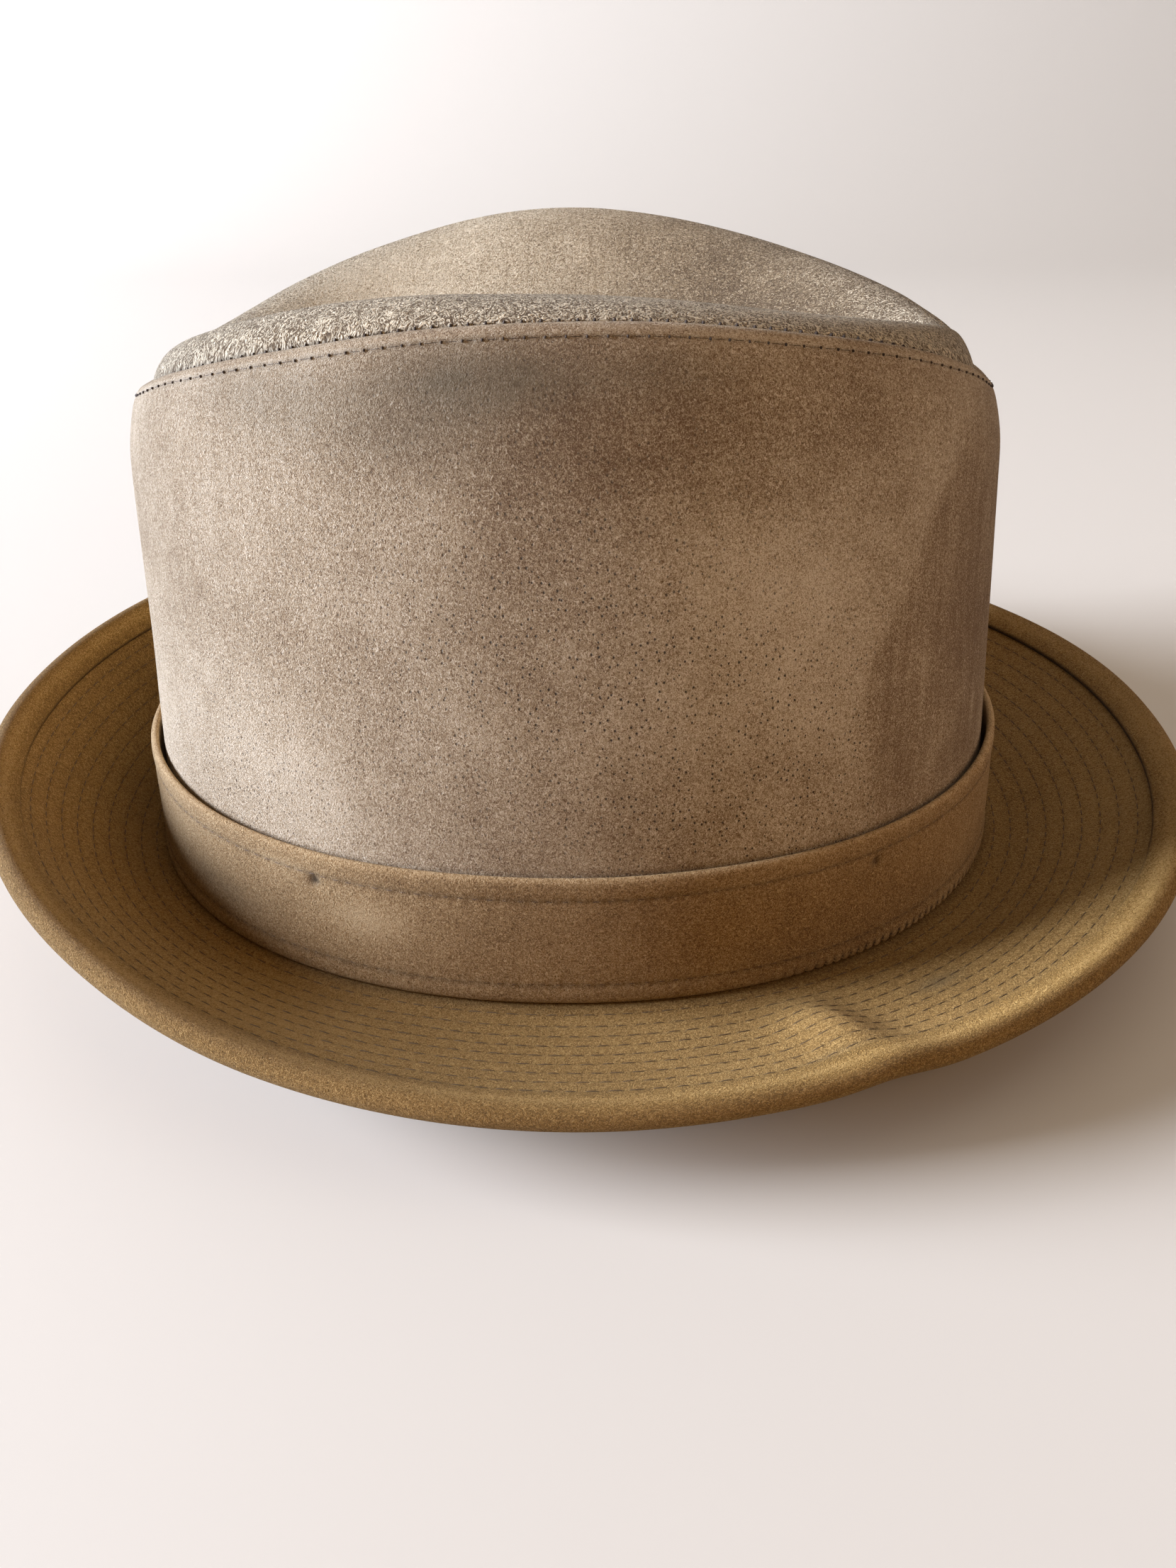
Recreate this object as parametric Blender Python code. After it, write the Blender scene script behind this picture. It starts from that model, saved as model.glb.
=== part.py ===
"""Fedora sewn from sheet suede: crown side, crown tip, hatband, brim and brim binding.

Metres, +Z up. +X points to the hat's front and +Y to the wearer's left. The origin lies on the
surface that the hat stands on, under the middle of its outline.

Every piece is a closed wall carried round the head oval. A station round the oval is an angle in
degrees counted from the front, so 90 is the wearer's left, 180 the back and 270 the wearer's right.
"""
import math

import bmesh
import bpy
import numpy as np

# Head opening, measured inside the crown at its foot
HEAD_LENGTH = 0.1986
HEAD_WIDTH = 0.1700
OVAL_POWER = 2.1

# Crown side panel
CROWN_WALL = 0.0018
SEAM_HEIGHT_SIDE = 0.1242
SEAM_HEIGHT_END = 0.1035
CROWN_TAPER = 0.088
TOP_LEAN = 0.0033
LEAN_START = 0.84
LEAN_POWER = 2.5
FOLD_THICKNESS = 0.0026
FOLD_DEPTH = 0.0080
FOLD_STEP = 0.0010
FOLD_SHOULDER = 0.3

# Crown tip
TIP_WALL = 0.0018
TIP_DROP = 0.0009
FLANGE_DEPTH = 0.0065
RIDGE_RISE = 0.0042
RIDGE_PLACE_SIDE = 0.87
RIDGE_PLACE_END = 0.95
RIDGE_BLEND_POWER = 2
RIDGE_ROUND_POWER = 0.5
DENT_DEPTH = 0.0180
DENT_LENGTH_POWER = 3.0
DENT_WIDTH_POWER = 1.25
SLOPE_NUDGE = 0.02
SLOPE_LIMIT = 1.9

# Hatband
BAND_HEIGHT = 0.0285
BAND_WALL = 0.0016
BAND_TAPER = 0.062
BAND_EDGE = 0.0005

# Brim, whose width runs from the crown's outer wall to the rim
BRIM_WIDTH = 0.0489
BRIM_WALL = 0.0022
BRIM_FLAT = 0.0060
BRIM_TURN_ANGLE = 74.0
BRIM_CURL_POWER = 0.25
BUCKLE_PLACE = 294.0
BUCKLE_HEIGHT = 0.0036
BUCKLE_HALF_WIDTH = 0.0085
BUCKLE_PEAK_POWER = 0.9
BUCKLE_FADE_POWER = 1.4
BUCKLE_AT_RIM = 0.35
BUCKLE_RIM_POWER = 3

# Binding folded over the rim
BINDING_WIDTH = 0.0078
BINDING_WALL = 0.0010
BINDING_EDGE_PROUD = 0.6
BINDING_ROLL_ALONG = 0.7
BINDING_ROLL_PROUD = 0.6
LAP_PLACE = 140.0
LAP_LENGTH = 0.0160
LAP_WALL = 0.0005

# Space between pieces that touch on the real hat
CLEARANCE = 0.0003

# Steps round the oval, the degrees about a joint or buckle that get finer steps, steps along the
# brim's curve while it is worked out, and the angle from which an edge is shown sharp
STATIONS = 64
FINE_STEPS = 4
FINE_SPAN = 8.5
CURVE_STEPS = 120
SHARP_ANGLE = 50

# How far the brim is turned up: station in degrees, share of BRIM_TURN_ANGLE
BRIM_TURN = (
    (0, 0.52),
    (40, 0.52),
    (70, 0.64),
    (100, 0.82),
    (135, 0.97),
    (150, 1.00),
    (180, 0.86),
    (210, 0.76),
    (230, 0.62),
    (250, 0.45),
    (270, 0.36),
    (290, 0.38),
    (320, 0.43),
    (340, 0.48),
)

# The seam's height: station in degrees, share of the way from its end height to its side height
SEAM = (
    (0, 0.00),
    (15, 0.07),
    (30, 0.36),
    (45, 0.63),
    (60, 0.83),
    (80, 1.00),
    (100, 0.97),
    (120, 0.75),
    (140, 0.46),
    (160, 0.13),
    (180, 0.00),
)

# The tip's ridge: station in degrees, share of RIDGE_RISE above the seam
RIDGE = (
    (0, 1.56),
    (15, 1.26),
    (45, 0.85),
    (60, 1.03),
    (75, 1.28),
    (90, 1.59),
    (110, 1.55),
    (130, 1.29),
    (155, 0.94),
    (180, 1.09),
    (210, 1.23),
    (240, 1.37),
    (270, 0.77),
    (300, 0.57),
    (325, 0.78),
    (345, 1.22),
)

# Crown side rows from foot to fold, as shares of the seam's height
CROWN_ROWS = (0.0, 0.2, 0.42, 0.64, 0.82, 0.90, 0.955)

# Crown tip rows from the middle to the edge, as shares of the edge oval
TIP_ROWS = (0.12, 0.25, 0.38, 0.51, 0.63, 0.74, 0.82, 0.88, 0.93, 0.965, 0.988, 1.0)

# Brim rows from its flat to the rim, as shares of the width left there
BRIM_ROWS = (0.0, 0.07, 0.20, 0.40, 0.61, 0.82, 1.0)

# Colours of the suede pieces: red, green and blue in linear light
SUEDE_CROWN = (0.38, 0.29, 0.22)
SUEDE_TIP = (0.38, 0.30, 0.23)
SUEDE_BAND = (0.28, 0.19, 0.10)
SUEDE_BRIM = (0.26, 0.17, 0.08)
SUEDE_BINDING = (0.29, 0.20, 0.10)
SUEDE_ROUGHNESS = 0.9

BAND_FOOT = BRIM_WALL + CLEARANCE
CROWN_HALF_LENGTH = HEAD_LENGTH / 2 + CROWN_WALL
CROWN_HALF_WIDTH = HEAD_WIDTH / 2 + CROWN_WALL


def stations(places=(), span=0.0):
    """Angles round the oval in degrees: even steps, split finer within span of each given place"""
    step = 360.0 / STATIONS
    angles = []
    for index in range(STATIONS):
        start = index * step
        near = any(abs((start + step / 2 - place + 180) % 360 - 180) < span for place in places)
        count = FINE_STEPS if near else 1
        angles.extend(start + step * part / count for part in range(count))
    return np.array(angles)


def oval(half_length, half_width, angles):
    """Points of a superellipse: each half axis times its cosine or sine to the power 2 / OVAL_POWER"""
    turn = np.radians(angles)
    along = np.sign(np.cos(turn)) * np.abs(np.cos(turn)) ** (2 / OVAL_POWER)
    across = np.sign(np.sin(turn)) * np.abs(np.sin(turn)) ** (2 / OVAL_POWER)
    return half_length * along, half_width * across


def outward(angles):
    """Unit normals of the crown's foot oval, the way in which the brim spreads"""
    x, y = oval(CROWN_HALF_LENGTH, CROWN_HALF_WIDTH, angles)
    slope_x = np.sign(x) * np.abs(x / CROWN_HALF_LENGTH) ** (OVAL_POWER - 1) / CROWN_HALF_LENGTH
    slope_y = np.sign(y) * np.abs(y / CROWN_HALF_WIDTH) ** (OVAL_POWER - 1) / CROWN_HALF_WIDTH
    length = np.hypot(slope_x, slope_y)
    return slope_x / length, slope_y / length


def round_table(table, angles):
    """Smooth closed curve through a table's values: cubic pieces with the neighbours' mean slope"""
    places = np.array([row[0] for row in table], float)
    values = np.array([row[1] for row in table], float)
    places = np.concatenate((places[-2:] - 360, places, places[:2] + 360))
    values = np.concatenate((values[-2:], values, values[:2]))
    slopes = np.gradient(values, places)
    index = np.clip(np.searchsorted(places, angles, side="right") - 1, 0, len(places) - 2)
    gap = places[index + 1] - places[index]
    share = (angles - places[index]) / gap
    rise = share ** 2 * (3 - 2 * share)
    bend_in = share * (1 - share) ** 2
    bend_out = -(share ** 2) * (1 - share)
    return (
        values[index] * (1 - rise)
        + values[index + 1] * rise
        + gap * (slopes[index] * bend_in + slopes[index + 1] * bend_out)
    )


def bump(angles, place, half_width):
    """Bell over the oval's rim, 1 at the place and falling over half_width metres of arc"""
    turn = np.radians((angles - place + 180) % 360 - 180)
    arc = turn * (CROWN_HALF_LENGTH + CROWN_HALF_WIDTH + 2 * BRIM_WIDTH) / 2
    return np.exp(-((arc / half_width) ** 2))


def seam_height(angles):
    """Height of the fold above the crown's foot, the same on both sides of the hat"""
    other_side = tuple((360 - place, share) for place, share in reversed(SEAM[1:-1]))
    share = round_table(SEAM + other_side, angles)
    return SEAM_HEIGHT_END + (SEAM_HEIGHT_SIDE - SEAM_HEIGHT_END) * share


def crown_ring(angles, height, inset):
    """Ring at a height above the crown's foot, set in from the panel's outer face"""
    share = np.clip((height / seam_height(angles) - LEAN_START) / (1 - LEAN_START), 0, None)
    draw = CROWN_TAPER * height + TOP_LEAN * share ** LEAN_POWER + inset
    x, y = oval(CROWN_HALF_LENGTH - draw, CROWN_HALF_WIDTH - draw, angles)
    return np.stack((x, y, np.broadcast_to(BAND_FOOT + height, x.shape)), axis=1)


def new_object(name, color, mesh_builder, offset):
    """Object with its own suede material and its mesh, placed at the offset"""
    mesh = bpy.data.meshes.new(name)
    shape = bmesh.new()
    mesh_builder(shape)
    bmesh.ops.recalc_face_normals(shape, faces=shape.faces)
    shape.to_mesh(mesh)
    shape.free()
    mesh.shade_smooth()
    mesh.set_sharp_from_angle(angle=math.radians(SHARP_ANGLE))
    material = bpy.data.materials.new(name + "_suede")
    material.use_nodes = True
    shader = material.node_tree.nodes["Principled BSDF"]
    shader.inputs["Base Color"].default_value = (*color, 1)
    shader.inputs["Roughness"].default_value = SUEDE_ROUGHNESS
    shader.inputs["Metallic"].default_value = 0
    mesh.materials.append(material)
    piece = bpy.data.objects.new(name, mesh)
    piece.location = offset
    bpy.context.scene.collection.objects.link(piece)
    return piece


def bridge(shape, lower, upper):
    """Quads between two closed rings of vertices"""
    count = len(lower)
    for index in range(count):
        after = (index + 1) % count
        shape.faces.new((lower[index], lower[after], upper[after], upper[index]))


def tube_wall(rings):
    """Mesh builder for a wall whose rings follow one another round its closed cross-section"""
    def build(shape):
        loops = [[shape.verts.new(point) for point in ring] for ring in rings]
        for index, loop in enumerate(loops):
            bridge(shape, loop, loops[(index + 1) % len(loops)])
    return build


def dome_wall(rings, top_middle, under_middle):
    """Mesh builder for a shell: rings run from the top's middle over the edge to the underside's"""
    def build(shape):
        loops = [[shape.verts.new(point) for point in ring] for ring in rings]
        for lower, upper in zip(loops, loops[1:]):
            bridge(shape, lower, upper)
        for middle, loop in ((top_middle, loops[0]), (under_middle, loops[-1])):
            pole = shape.verts.new(middle)
            for index, corner in enumerate(loop):
                shape.faces.new((pole, corner, loop[(index + 1) % len(loop)]))
    return build


def crown_side_rings():
    """Panel from the foot up its outer face, over the rolled fold and down its inner face"""
    angles = stations()
    seam = seam_height(angles)
    roll = FOLD_THICKNESS / 2
    shoulder = roll * FOLD_SHOULDER
    outer = [crown_ring(angles, share * seam, 0) for share in CROWN_ROWS]
    fold = [
        crown_ring(angles, seam - roll, 0),
        crown_ring(angles, seam - shoulder, shoulder),
        crown_ring(angles, seam, roll),
        crown_ring(angles, seam - shoulder, FOLD_THICKNESS - shoulder),
        crown_ring(angles, seam - roll, FOLD_THICKNESS),
        crown_ring(angles, seam - FOLD_DEPTH, FOLD_THICKNESS),
        crown_ring(angles, seam - FOLD_DEPTH - FOLD_STEP, CROWN_WALL),
    ]
    lowest = 1 - (FOLD_DEPTH + 2 * FOLD_STEP) / seam.min()
    below_fold = [share for share in reversed(CROWN_ROWS) if share < lowest]
    inner = [crown_ring(angles, share * seam, CROWN_WALL) for share in below_fold]
    return outer + fold + inner


def tip_height(angles, share):
    """Top surface of the tip above the crown's foot at a share of the way to its edge.

    The seam's height at the same place along the hat, plus a ridge that rises just inside the edge,
    less a long dent along the middle. The ridge evens out towards the middle, and lies nearer to the
    edge at the hat's two ends. The dent fades out at the ends, and across the hat at the ridges.
    """
    along, across = oval(1.0, 1.0, angles)
    forward = np.sign(along) * np.abs(share * along) ** (OVAL_POWER / 2)
    arch = seam_height(np.degrees(np.arccos(np.clip(forward, -1, 1))))
    place = RIDGE_PLACE_SIDE + (RIDGE_PLACE_END - RIDGE_PLACE_SIDE) * along ** 2
    climb = np.clip((1 - share) / (1 - place), 0, 1)
    blend = np.minimum(share / place, 1.0) ** RIDGE_BLEND_POWER
    round_off = np.sin(climb * math.pi / 2) ** RIDGE_ROUND_POWER
    rise = RIDGE_RISE * (1 + (round_table(RIDGE, angles) - 1) * blend) * round_off
    dent_along = np.abs(share * along) ** DENT_LENGTH_POWER
    dent_across = np.abs(share * across / RIDGE_PLACE_SIDE) ** DENT_WIDTH_POWER
    reach = np.clip(dent_along + dent_across, 0, 1)
    dent = DENT_DEPTH * (1 + np.cos(math.pi * reach)) / 2
    return arch + rise - dent - TIP_DROP


def tip_ring(angles, share, inset, drop):
    """Ring of the tip's top surface, or of its underside when inset and dropped"""
    seam = seam_height(angles)
    edge = crown_ring(angles, seam - TIP_DROP, FOLD_THICKNESS + CLEARANCE + inset)
    height = tip_height(angles, share)
    return np.stack((edge[:, 0] * share, edge[:, 1] * share, BAND_FOOT + height - drop), axis=1)


def tip_slope_drop(angles, share):
    """Drop that keeps the wall's thickness where the top surface slopes, up to SLOPE_LIMIT"""
    seam = seam_height(angles)
    edge = crown_ring(angles, seam - TIP_DROP, FOLD_THICKNESS + CLEARANCE)
    reach = np.hypot(edge[:, 0], edge[:, 1])
    low = max(share - SLOPE_NUDGE, 0.0)
    high = min(share + SLOPE_NUDGE, 1.0)
    slope = (tip_height(angles, high) - tip_height(angles, low)) / (reach * (high - low))
    return TIP_WALL * np.sqrt(1 + np.clip(slope, -SLOPE_LIMIT, SLOPE_LIMIT) ** 2)


def crown_tip_rings():
    """Tip from its middle over the ridge to the edge, down the sewn flange and back underneath"""
    angles = stations()
    seam = seam_height(angles)
    outer_inset = FOLD_THICKNESS + CLEARANCE
    top = [tip_ring(angles, share, 0, 0) for share in TIP_ROWS]
    flange = [
        crown_ring(angles, seam - FLANGE_DEPTH, outer_inset),
        crown_ring(angles, seam - FLANGE_DEPTH, outer_inset + TIP_WALL),
    ]
    under = [
        tip_ring(angles, share, TIP_WALL, tip_slope_drop(angles, share))
        for share in reversed(TIP_ROWS)
    ]
    return top + flange + under


def hatband_rings():
    """Band with rounded folded edges, standing off the crown more at its top than at its foot"""
    angles = stations()
    rings = []
    profile = (
        (0.0, BAND_EDGE),
        (0.0, BAND_WALL - BAND_EDGE),
        (BAND_EDGE, BAND_WALL),
        (BAND_HEIGHT / 2, BAND_WALL),
        (BAND_HEIGHT - BAND_EDGE, BAND_WALL),
        (BAND_HEIGHT, BAND_WALL - BAND_EDGE),
        (BAND_HEIGHT, BAND_EDGE),
        (BAND_HEIGHT - BAND_EDGE, 0.0),
        (BAND_EDGE, 0.0),
    )
    for height, out in profile:
        reach = CLEARANCE + out - BAND_TAPER * height
        x, y = oval(CROWN_HALF_LENGTH + reach, CROWN_HALF_WIDTH + reach, angles)
        rings.append(np.stack((x, y, np.full_like(x, BAND_FOOT + height)), axis=1))
    return rings


def brim_curve(angles, distance):
    """Brim's middle surface at a distance from the crown's wall: reach out, height and slope.

    The slope is 0 over the flat, then grows with the distance beyond it to BRIM_CURL_POWER.
    """
    steps = np.linspace(0, BRIM_WIDTH, CURVE_STEPS + 1)
    growth = np.clip((steps - BRIM_FLAT) / (BRIM_WIDTH - BRIM_FLAT), 0, None) ** BRIM_CURL_POWER
    rim_slope = np.radians(BRIM_TURN_ANGLE) * round_table(BRIM_TURN, angles)
    slope = rim_slope[:, None] * growth
    middle = (slope[:, 1:] + slope[:, :-1]) / 2
    step = BRIM_WIDTH / CURVE_STEPS
    start = np.zeros((len(angles), 1))
    out = np.concatenate((start, np.cumsum(np.cos(middle), axis=1) * step), axis=1)
    up = np.concatenate((start, np.cumsum(np.sin(middle), axis=1) * step), axis=1)
    place = max(distance, 0.0) / step
    index = min(int(place), CURVE_STEPS - 1)
    share = place - index
    reach = out[:, index] * (1 - share) + out[:, index + 1] * share + min(distance, 0.0)
    height = up[:, index] * (1 - share) + up[:, index + 1] * share
    tilt = slope[:, index] * (1 - share) + slope[:, index + 1] * share
    width_share = np.clip((distance - BRIM_FLAT) / (BRIM_WIDTH - BRIM_FLAT), 0, 1)
    swell = math.sin(math.pi * width_share ** BUCKLE_PEAK_POWER) ** BUCKLE_FADE_POWER
    swell = swell + BUCKLE_AT_RIM * width_share ** BUCKLE_RIM_POWER
    height = height + BUCKLE_HEIGHT * swell * bump(angles, BUCKLE_PLACE, BUCKLE_HALF_WIDTH)
    return reach, height, tilt


def brim_ring(angles, distance, proud):
    """Ring at a distance from the crown's wall, standing proud of the brim's middle surface"""
    reach, height, tilt = brim_curve(angles, distance)
    normal_x, normal_y = outward(angles)
    x, y = oval(CROWN_HALF_LENGTH, CROWN_HALF_WIDTH, angles)
    spread = reach - np.sin(tilt) * proud
    z = BRIM_WALL / 2 + height + np.cos(tilt) * proud
    return np.stack((x + normal_x * spread, y + normal_y * spread, z), axis=1)


def brim_stations():
    """Stations that are closer together across the buckle and the binding's joint"""
    return stations((BUCKLE_PLACE, LAP_PLACE), FINE_SPAN)


def brim_rings():
    """Brim from the head opening out over its top to the rim, and back underneath"""
    angles = brim_stations()
    end = BRIM_WIDTH - BINDING_WALL - CLEARANCE
    rows = [-CROWN_WALL] + [BRIM_FLAT + share * (end - BRIM_FLAT) for share in BRIM_ROWS]
    half = BRIM_WALL / 2
    top = [brim_ring(angles, row, half) for row in rows]
    under = [brim_ring(angles, row, -half) for row in reversed(rows)]
    return top + under


def binding_rings():
    """Binding from its upper edge round the rim to its lower edge, and back along its inside"""
    angles = brim_stations()
    inner = BRIM_WALL / 2 + CLEARANCE
    outer = inner + BINDING_WALL + LAP_WALL * bump(angles, LAP_PLACE, LAP_LENGTH / 2)
    start = BRIM_WIDTH - BINDING_WIDTH
    turn = BRIM_WIDTH - BINDING_WALL
    half = (
        (start, inner + BINDING_WALL * BINDING_EDGE_PROUD),
        (start + BINDING_WALL, outer),
        (turn - BINDING_WALL, outer),
        (turn + BINDING_WALL * BINDING_ROLL_ALONG, outer * BINDING_ROLL_PROUD),
    )
    over = [brim_ring(angles, place, proud) for place, proud in half]
    under = [brim_ring(angles, place, -proud) for place, proud in reversed(half)]
    inside = [
        brim_ring(angles, place, proud)
        for place, proud in ((start, -inner), (turn, -inner), (turn, inner), (start, inner))
    ]
    return over + [brim_ring(angles, BRIM_WIDTH, 0.0)] + under + inside


def outline_middle(rings):
    """Middle of the outline from above, which the origin is put under"""
    points = np.concatenate(rings)
    return (points[:, 0].max() + points[:, 0].min()) / 2, (points[:, 1].max() + points[:, 1].min()) / 2


def main():
    """Clear the scene's objects, then build the five pieces round the origin"""
    for item in list(bpy.data.objects):
        bpy.data.objects.remove(item)
    binding = binding_rings()
    middle_x, middle_y = outline_middle(binding)
    offset = (-middle_x, -middle_y, 0.0)
    tip = crown_tip_rings()
    top_middle = (0.0, 0.0, tip[0][:, 2].mean())
    under_middle = (0.0, 0.0, tip[-1][:, 2].mean())
    new_object("crown_side", SUEDE_CROWN, tube_wall(crown_side_rings()), offset)
    new_object("crown_tip", SUEDE_TIP, dome_wall(tip, top_middle, under_middle), offset)
    new_object("hatband", SUEDE_BAND, tube_wall(hatband_rings()), offset)
    new_object("brim", SUEDE_BRIM, tube_wall(brim_rings()), offset)
    new_object("brim_binding", SUEDE_BINDING, tube_wall(binding), offset)


main()
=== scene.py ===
"""Looks of a sewn suede fedora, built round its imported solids.

Metres, +Z up, +X to the hat's front and +Y to the wearer's left, as in the frame. Each suede piece
is worked out again as a fine surface with the formulas of its solid, so it fills the same space. It
gets what the solid leaves out: soft rolled edges, needle grooves, stitches, nap, pores and wear.

A station round the oval is an angle in degrees counted from the front, so 90 is the wearer's left,
180 the back and 270 the wearer's right, the side that the camera sees.
"""

import math

import bpy
import numpy as np
from mathutils import Matrix, Vector


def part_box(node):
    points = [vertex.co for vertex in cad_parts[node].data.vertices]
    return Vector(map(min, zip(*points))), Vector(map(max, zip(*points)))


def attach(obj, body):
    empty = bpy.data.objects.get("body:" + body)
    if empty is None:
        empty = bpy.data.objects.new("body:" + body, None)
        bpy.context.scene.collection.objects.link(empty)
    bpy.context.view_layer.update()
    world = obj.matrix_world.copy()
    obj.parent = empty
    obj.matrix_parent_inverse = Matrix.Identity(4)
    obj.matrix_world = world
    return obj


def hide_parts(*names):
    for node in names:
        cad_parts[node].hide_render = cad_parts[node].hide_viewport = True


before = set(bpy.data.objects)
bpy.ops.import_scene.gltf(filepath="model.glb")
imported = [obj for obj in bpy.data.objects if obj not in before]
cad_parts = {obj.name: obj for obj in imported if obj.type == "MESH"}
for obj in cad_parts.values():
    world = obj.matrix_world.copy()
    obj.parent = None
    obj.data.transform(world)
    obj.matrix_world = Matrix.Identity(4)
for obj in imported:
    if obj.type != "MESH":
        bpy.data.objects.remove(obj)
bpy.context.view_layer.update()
crown_low, crown_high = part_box("crown_side")
band_low, band_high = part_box("hatband")

MM = 0.001

# Crown's foot oval, its middle and its height, all read from the frame
AXIS = np.array(((crown_low.x + crown_high.x) / 2, (crown_low.y + crown_high.y) / 2, 0.0))
HALF_LENGTH = (crown_high.x - crown_low.x) / 2
HALF_WIDTH = (crown_high.y - crown_low.y) / 2
FOOT = crown_low.z
BAND_HEIGHT = band_high.z - band_low.z
OVAL_POWER = 2.1

# Crown side panel
CROWN_WALL = 1.8 * MM
SEAM_HEIGHT_SIDE = 124.2 * MM
SEAM_HEIGHT_END = 103.5 * MM
CROWN_TAPER = 0.088
TOP_LEAN = 3.3 * MM
LEAN_START = 0.84
LEAN_POWER = 2.5
FOLD_THICKNESS = 2.6 * MM
FOLD_DEPTH = 8.0 * MM
FOLD_STEP = 1.0 * MM
FOLD_ROUND_POWER = 0.7

# Crown tip
TIP_WALL = 1.8 * MM
TIP_DROP = 0.9 * MM
FLANGE_DEPTH = 6.5 * MM
RIDGE_RISE = 4.2 * MM
RIDGE_PLACE_SIDE = 0.87
RIDGE_PLACE_END = 0.95
RIDGE_BLEND_POWER = 2
RIDGE_ROUND_POWER = 0.5
DENT_DEPTH = 18.0 * MM
DENT_LENGTH_POWER = 3.0
DENT_WIDTH_POWER = 1.25
SLOPE_NUDGE = 0.02
SLOPE_LIMIT = 1.9

# Hatband
BAND_WALL = 1.6 * MM
BAND_TAPER = 0.062

# Brim, whose width runs from the crown's outer wall to the rim
BRIM_WIDTH = 48.9 * MM
BRIM_WALL = 2.2 * MM
BRIM_FLAT = 6.0 * MM
BRIM_TURN_ANGLE = 74.0
BRIM_CURL_POWER = 0.25
BUCKLE_PLACE = 294.0
BUCKLE_HEIGHT = 3.6 * MM
BUCKLE_HALF_WIDTH = 8.5 * MM
BUCKLE_PEAK_POWER = 0.9
BUCKLE_FADE_POWER = 1.4
BUCKLE_AT_RIM = 0.35
BUCKLE_RIM_POWER = 3

# Binding folded over the rim, the lapped joint of its two ends, and the width of leather that each
# row of points stands for on its flat sheet
BINDING_WIDTH = 7.8 * MM
BINDING_WALL = 1.0 * MM
BINDING_NOSE = 2.6 * MM
BINDING_NOSE_POWER = 2.2
LAP_PLACE = 140.0
LAP_LENGTH = 16.0 * MM
LAP_WALL = 0.5 * MM
LAP_SKEW = 0.9
LAP_EDGE = 0.35 * MM
BINDING_SHEET_STEP = 0.8 * MM

# Shares of the binding's width: where its roll is rubbed pale and carries a painted highlight, how
# wide, and its lip's painted shade
RUB_AND_HIGHLIGHT_PLACE = 0.62
RUB_AND_HIGHLIGHT_HALF_WIDTH = 0.22
LIP_SHADE = 0.06

# Space between pieces that touch on the real hat
CLEARANCE = 0.3 * MM

# Rows of sewing: how far each lies from the edge beside it, its pitch, and how wide its groove is
SEAM_ROW_DROP = 1.8 * MM
SEAM_PITCH = 3.3 * MM
FOLD_DOT_PITCH = 2.9 * MM
BAND_ROW_INSET = 4.7 * MM
BAND_PITCH = 2.9 * MM
BRIM_ROW_FIRST = 4.6 * MM
BRIM_ROW_STEP = 4.15 * MM
BRIM_ROW_COUNT = 10
BRIM_PITCH = 3.8 * MM
GROOVE_HALF_WIDTH = 0.5 * MM
SEAM_GROOVE_HALF_WIDTH = 0.4 * MM

# How hard a thread pulls midway between two holes, as a share of its pull at the holes
PULL_BETWEEN_HOLES = 0.45

# Stitches of each row: share of the pitch that shows, radius of the thread or hole
SEAM_STITCH = (0.97, 0.05 * MM)
SEAM_HOLE = (0.15, 0.27 * MM)
FOLD_HOLE = (0.22, 0.38 * MM)
BAND_STITCH = (0.80, 0.085 * MM)
BRIM_STITCH = (0.86, 0.12 * MM)

# How far the holes between fold and tip lie below the fold's top, and how far they lean outwards
FOLD_HOLE_DROP = 0.15 * MM
FOLD_HOLE_LEAN = 0.3

# One stitch: points along it and round it, how thin its ends are, how it rises and sinks in shares
# of its radius, and how far its place and length stray from even
THREAD_STEPS = 5
THREAD_SIDES = 6
THREAD_TAPER = 0.9
THREAD_RISE = 0.55
THREAD_SINK = 1.5
STRAY_PLACE = 0.05
STRAY_LENGTH = (0.85, 1.12)

# Relief of the sheets: the span and height of their slow waves, where the crown's start above the
# band and fade below the fold, the height of hems and plump strips, and the depth of pulled rows
WAVE_SPAN = 20.0 * MM
CROWN_WAVES = 0.55 * MM
CROWN_WAVES_FROM = 2.0 * MM
CROWN_WAVES_GROW = 14.0 * MM
CROWN_WAVES_FADE = 20.0 * MM
CROWN_HEM = 0.22 * MM
CROWN_HEM_REACH = 5.5 * MM
SEAM_PULL = 0.30 * MM
BAND_WAVES = 0.2 * MM
BAND_EDGE_WAVES = 0.35 * MM
BAND_HEM = 0.20 * MM
BAND_PULL = 0.32 * MM
BAND_END_GAP = 0.2 * MM
BRIM_WAVES = 0.25 * MM
BRIM_PULL = 0.13 * MM
BINDING_PLUMP = 0.18 * MM

# Steps round the oval for each fine surface, and steps along the brim's curve
CROWN_STEPS = 960
TIP_STEPS = 720
BAND_STEPS = 1440
BRIM_STEPS = 960
CURVE_STEPS = 120

# Points across each stretch of a sheet's wall, the share of the tip's oval left round its middle, and
# the power that crowds the tip's rows towards its edge
CROWN_FACE, CROWN_HEMMED, CROWN_ROLL, CROWN_FOLDED, CROWN_LINING = 48, 22, 11, 6, 16
TIP_UNDER, TIP_FLANGE, TIP_MIDDLE, TIP_RIDGE = 26, 5, 36, 30
BAND_FACE, BAND_ROLL, BAND_INSIDE_STEP = 30, 8, 4
BRIM_TOP, BRIM_UNDER = 74, 18
BINDING_LIP, BINDING_LEAF, BINDING_NOSE_TURN = 5, 7, 9
POLE_SHARE = 0.02
RIDGE_CROWDING = 1.6

# How far the brim is turned up: station in degrees, share of BRIM_TURN_ANGLE
BRIM_TURN = (
    (0, 0.52), (40, 0.52), (70, 0.64), (100, 0.82), (135, 0.97), (150, 1.00), (180, 0.86),
    (210, 0.76), (230, 0.62), (250, 0.45), (270, 0.36), (290, 0.38), (320, 0.43), (340, 0.48),
)

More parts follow.
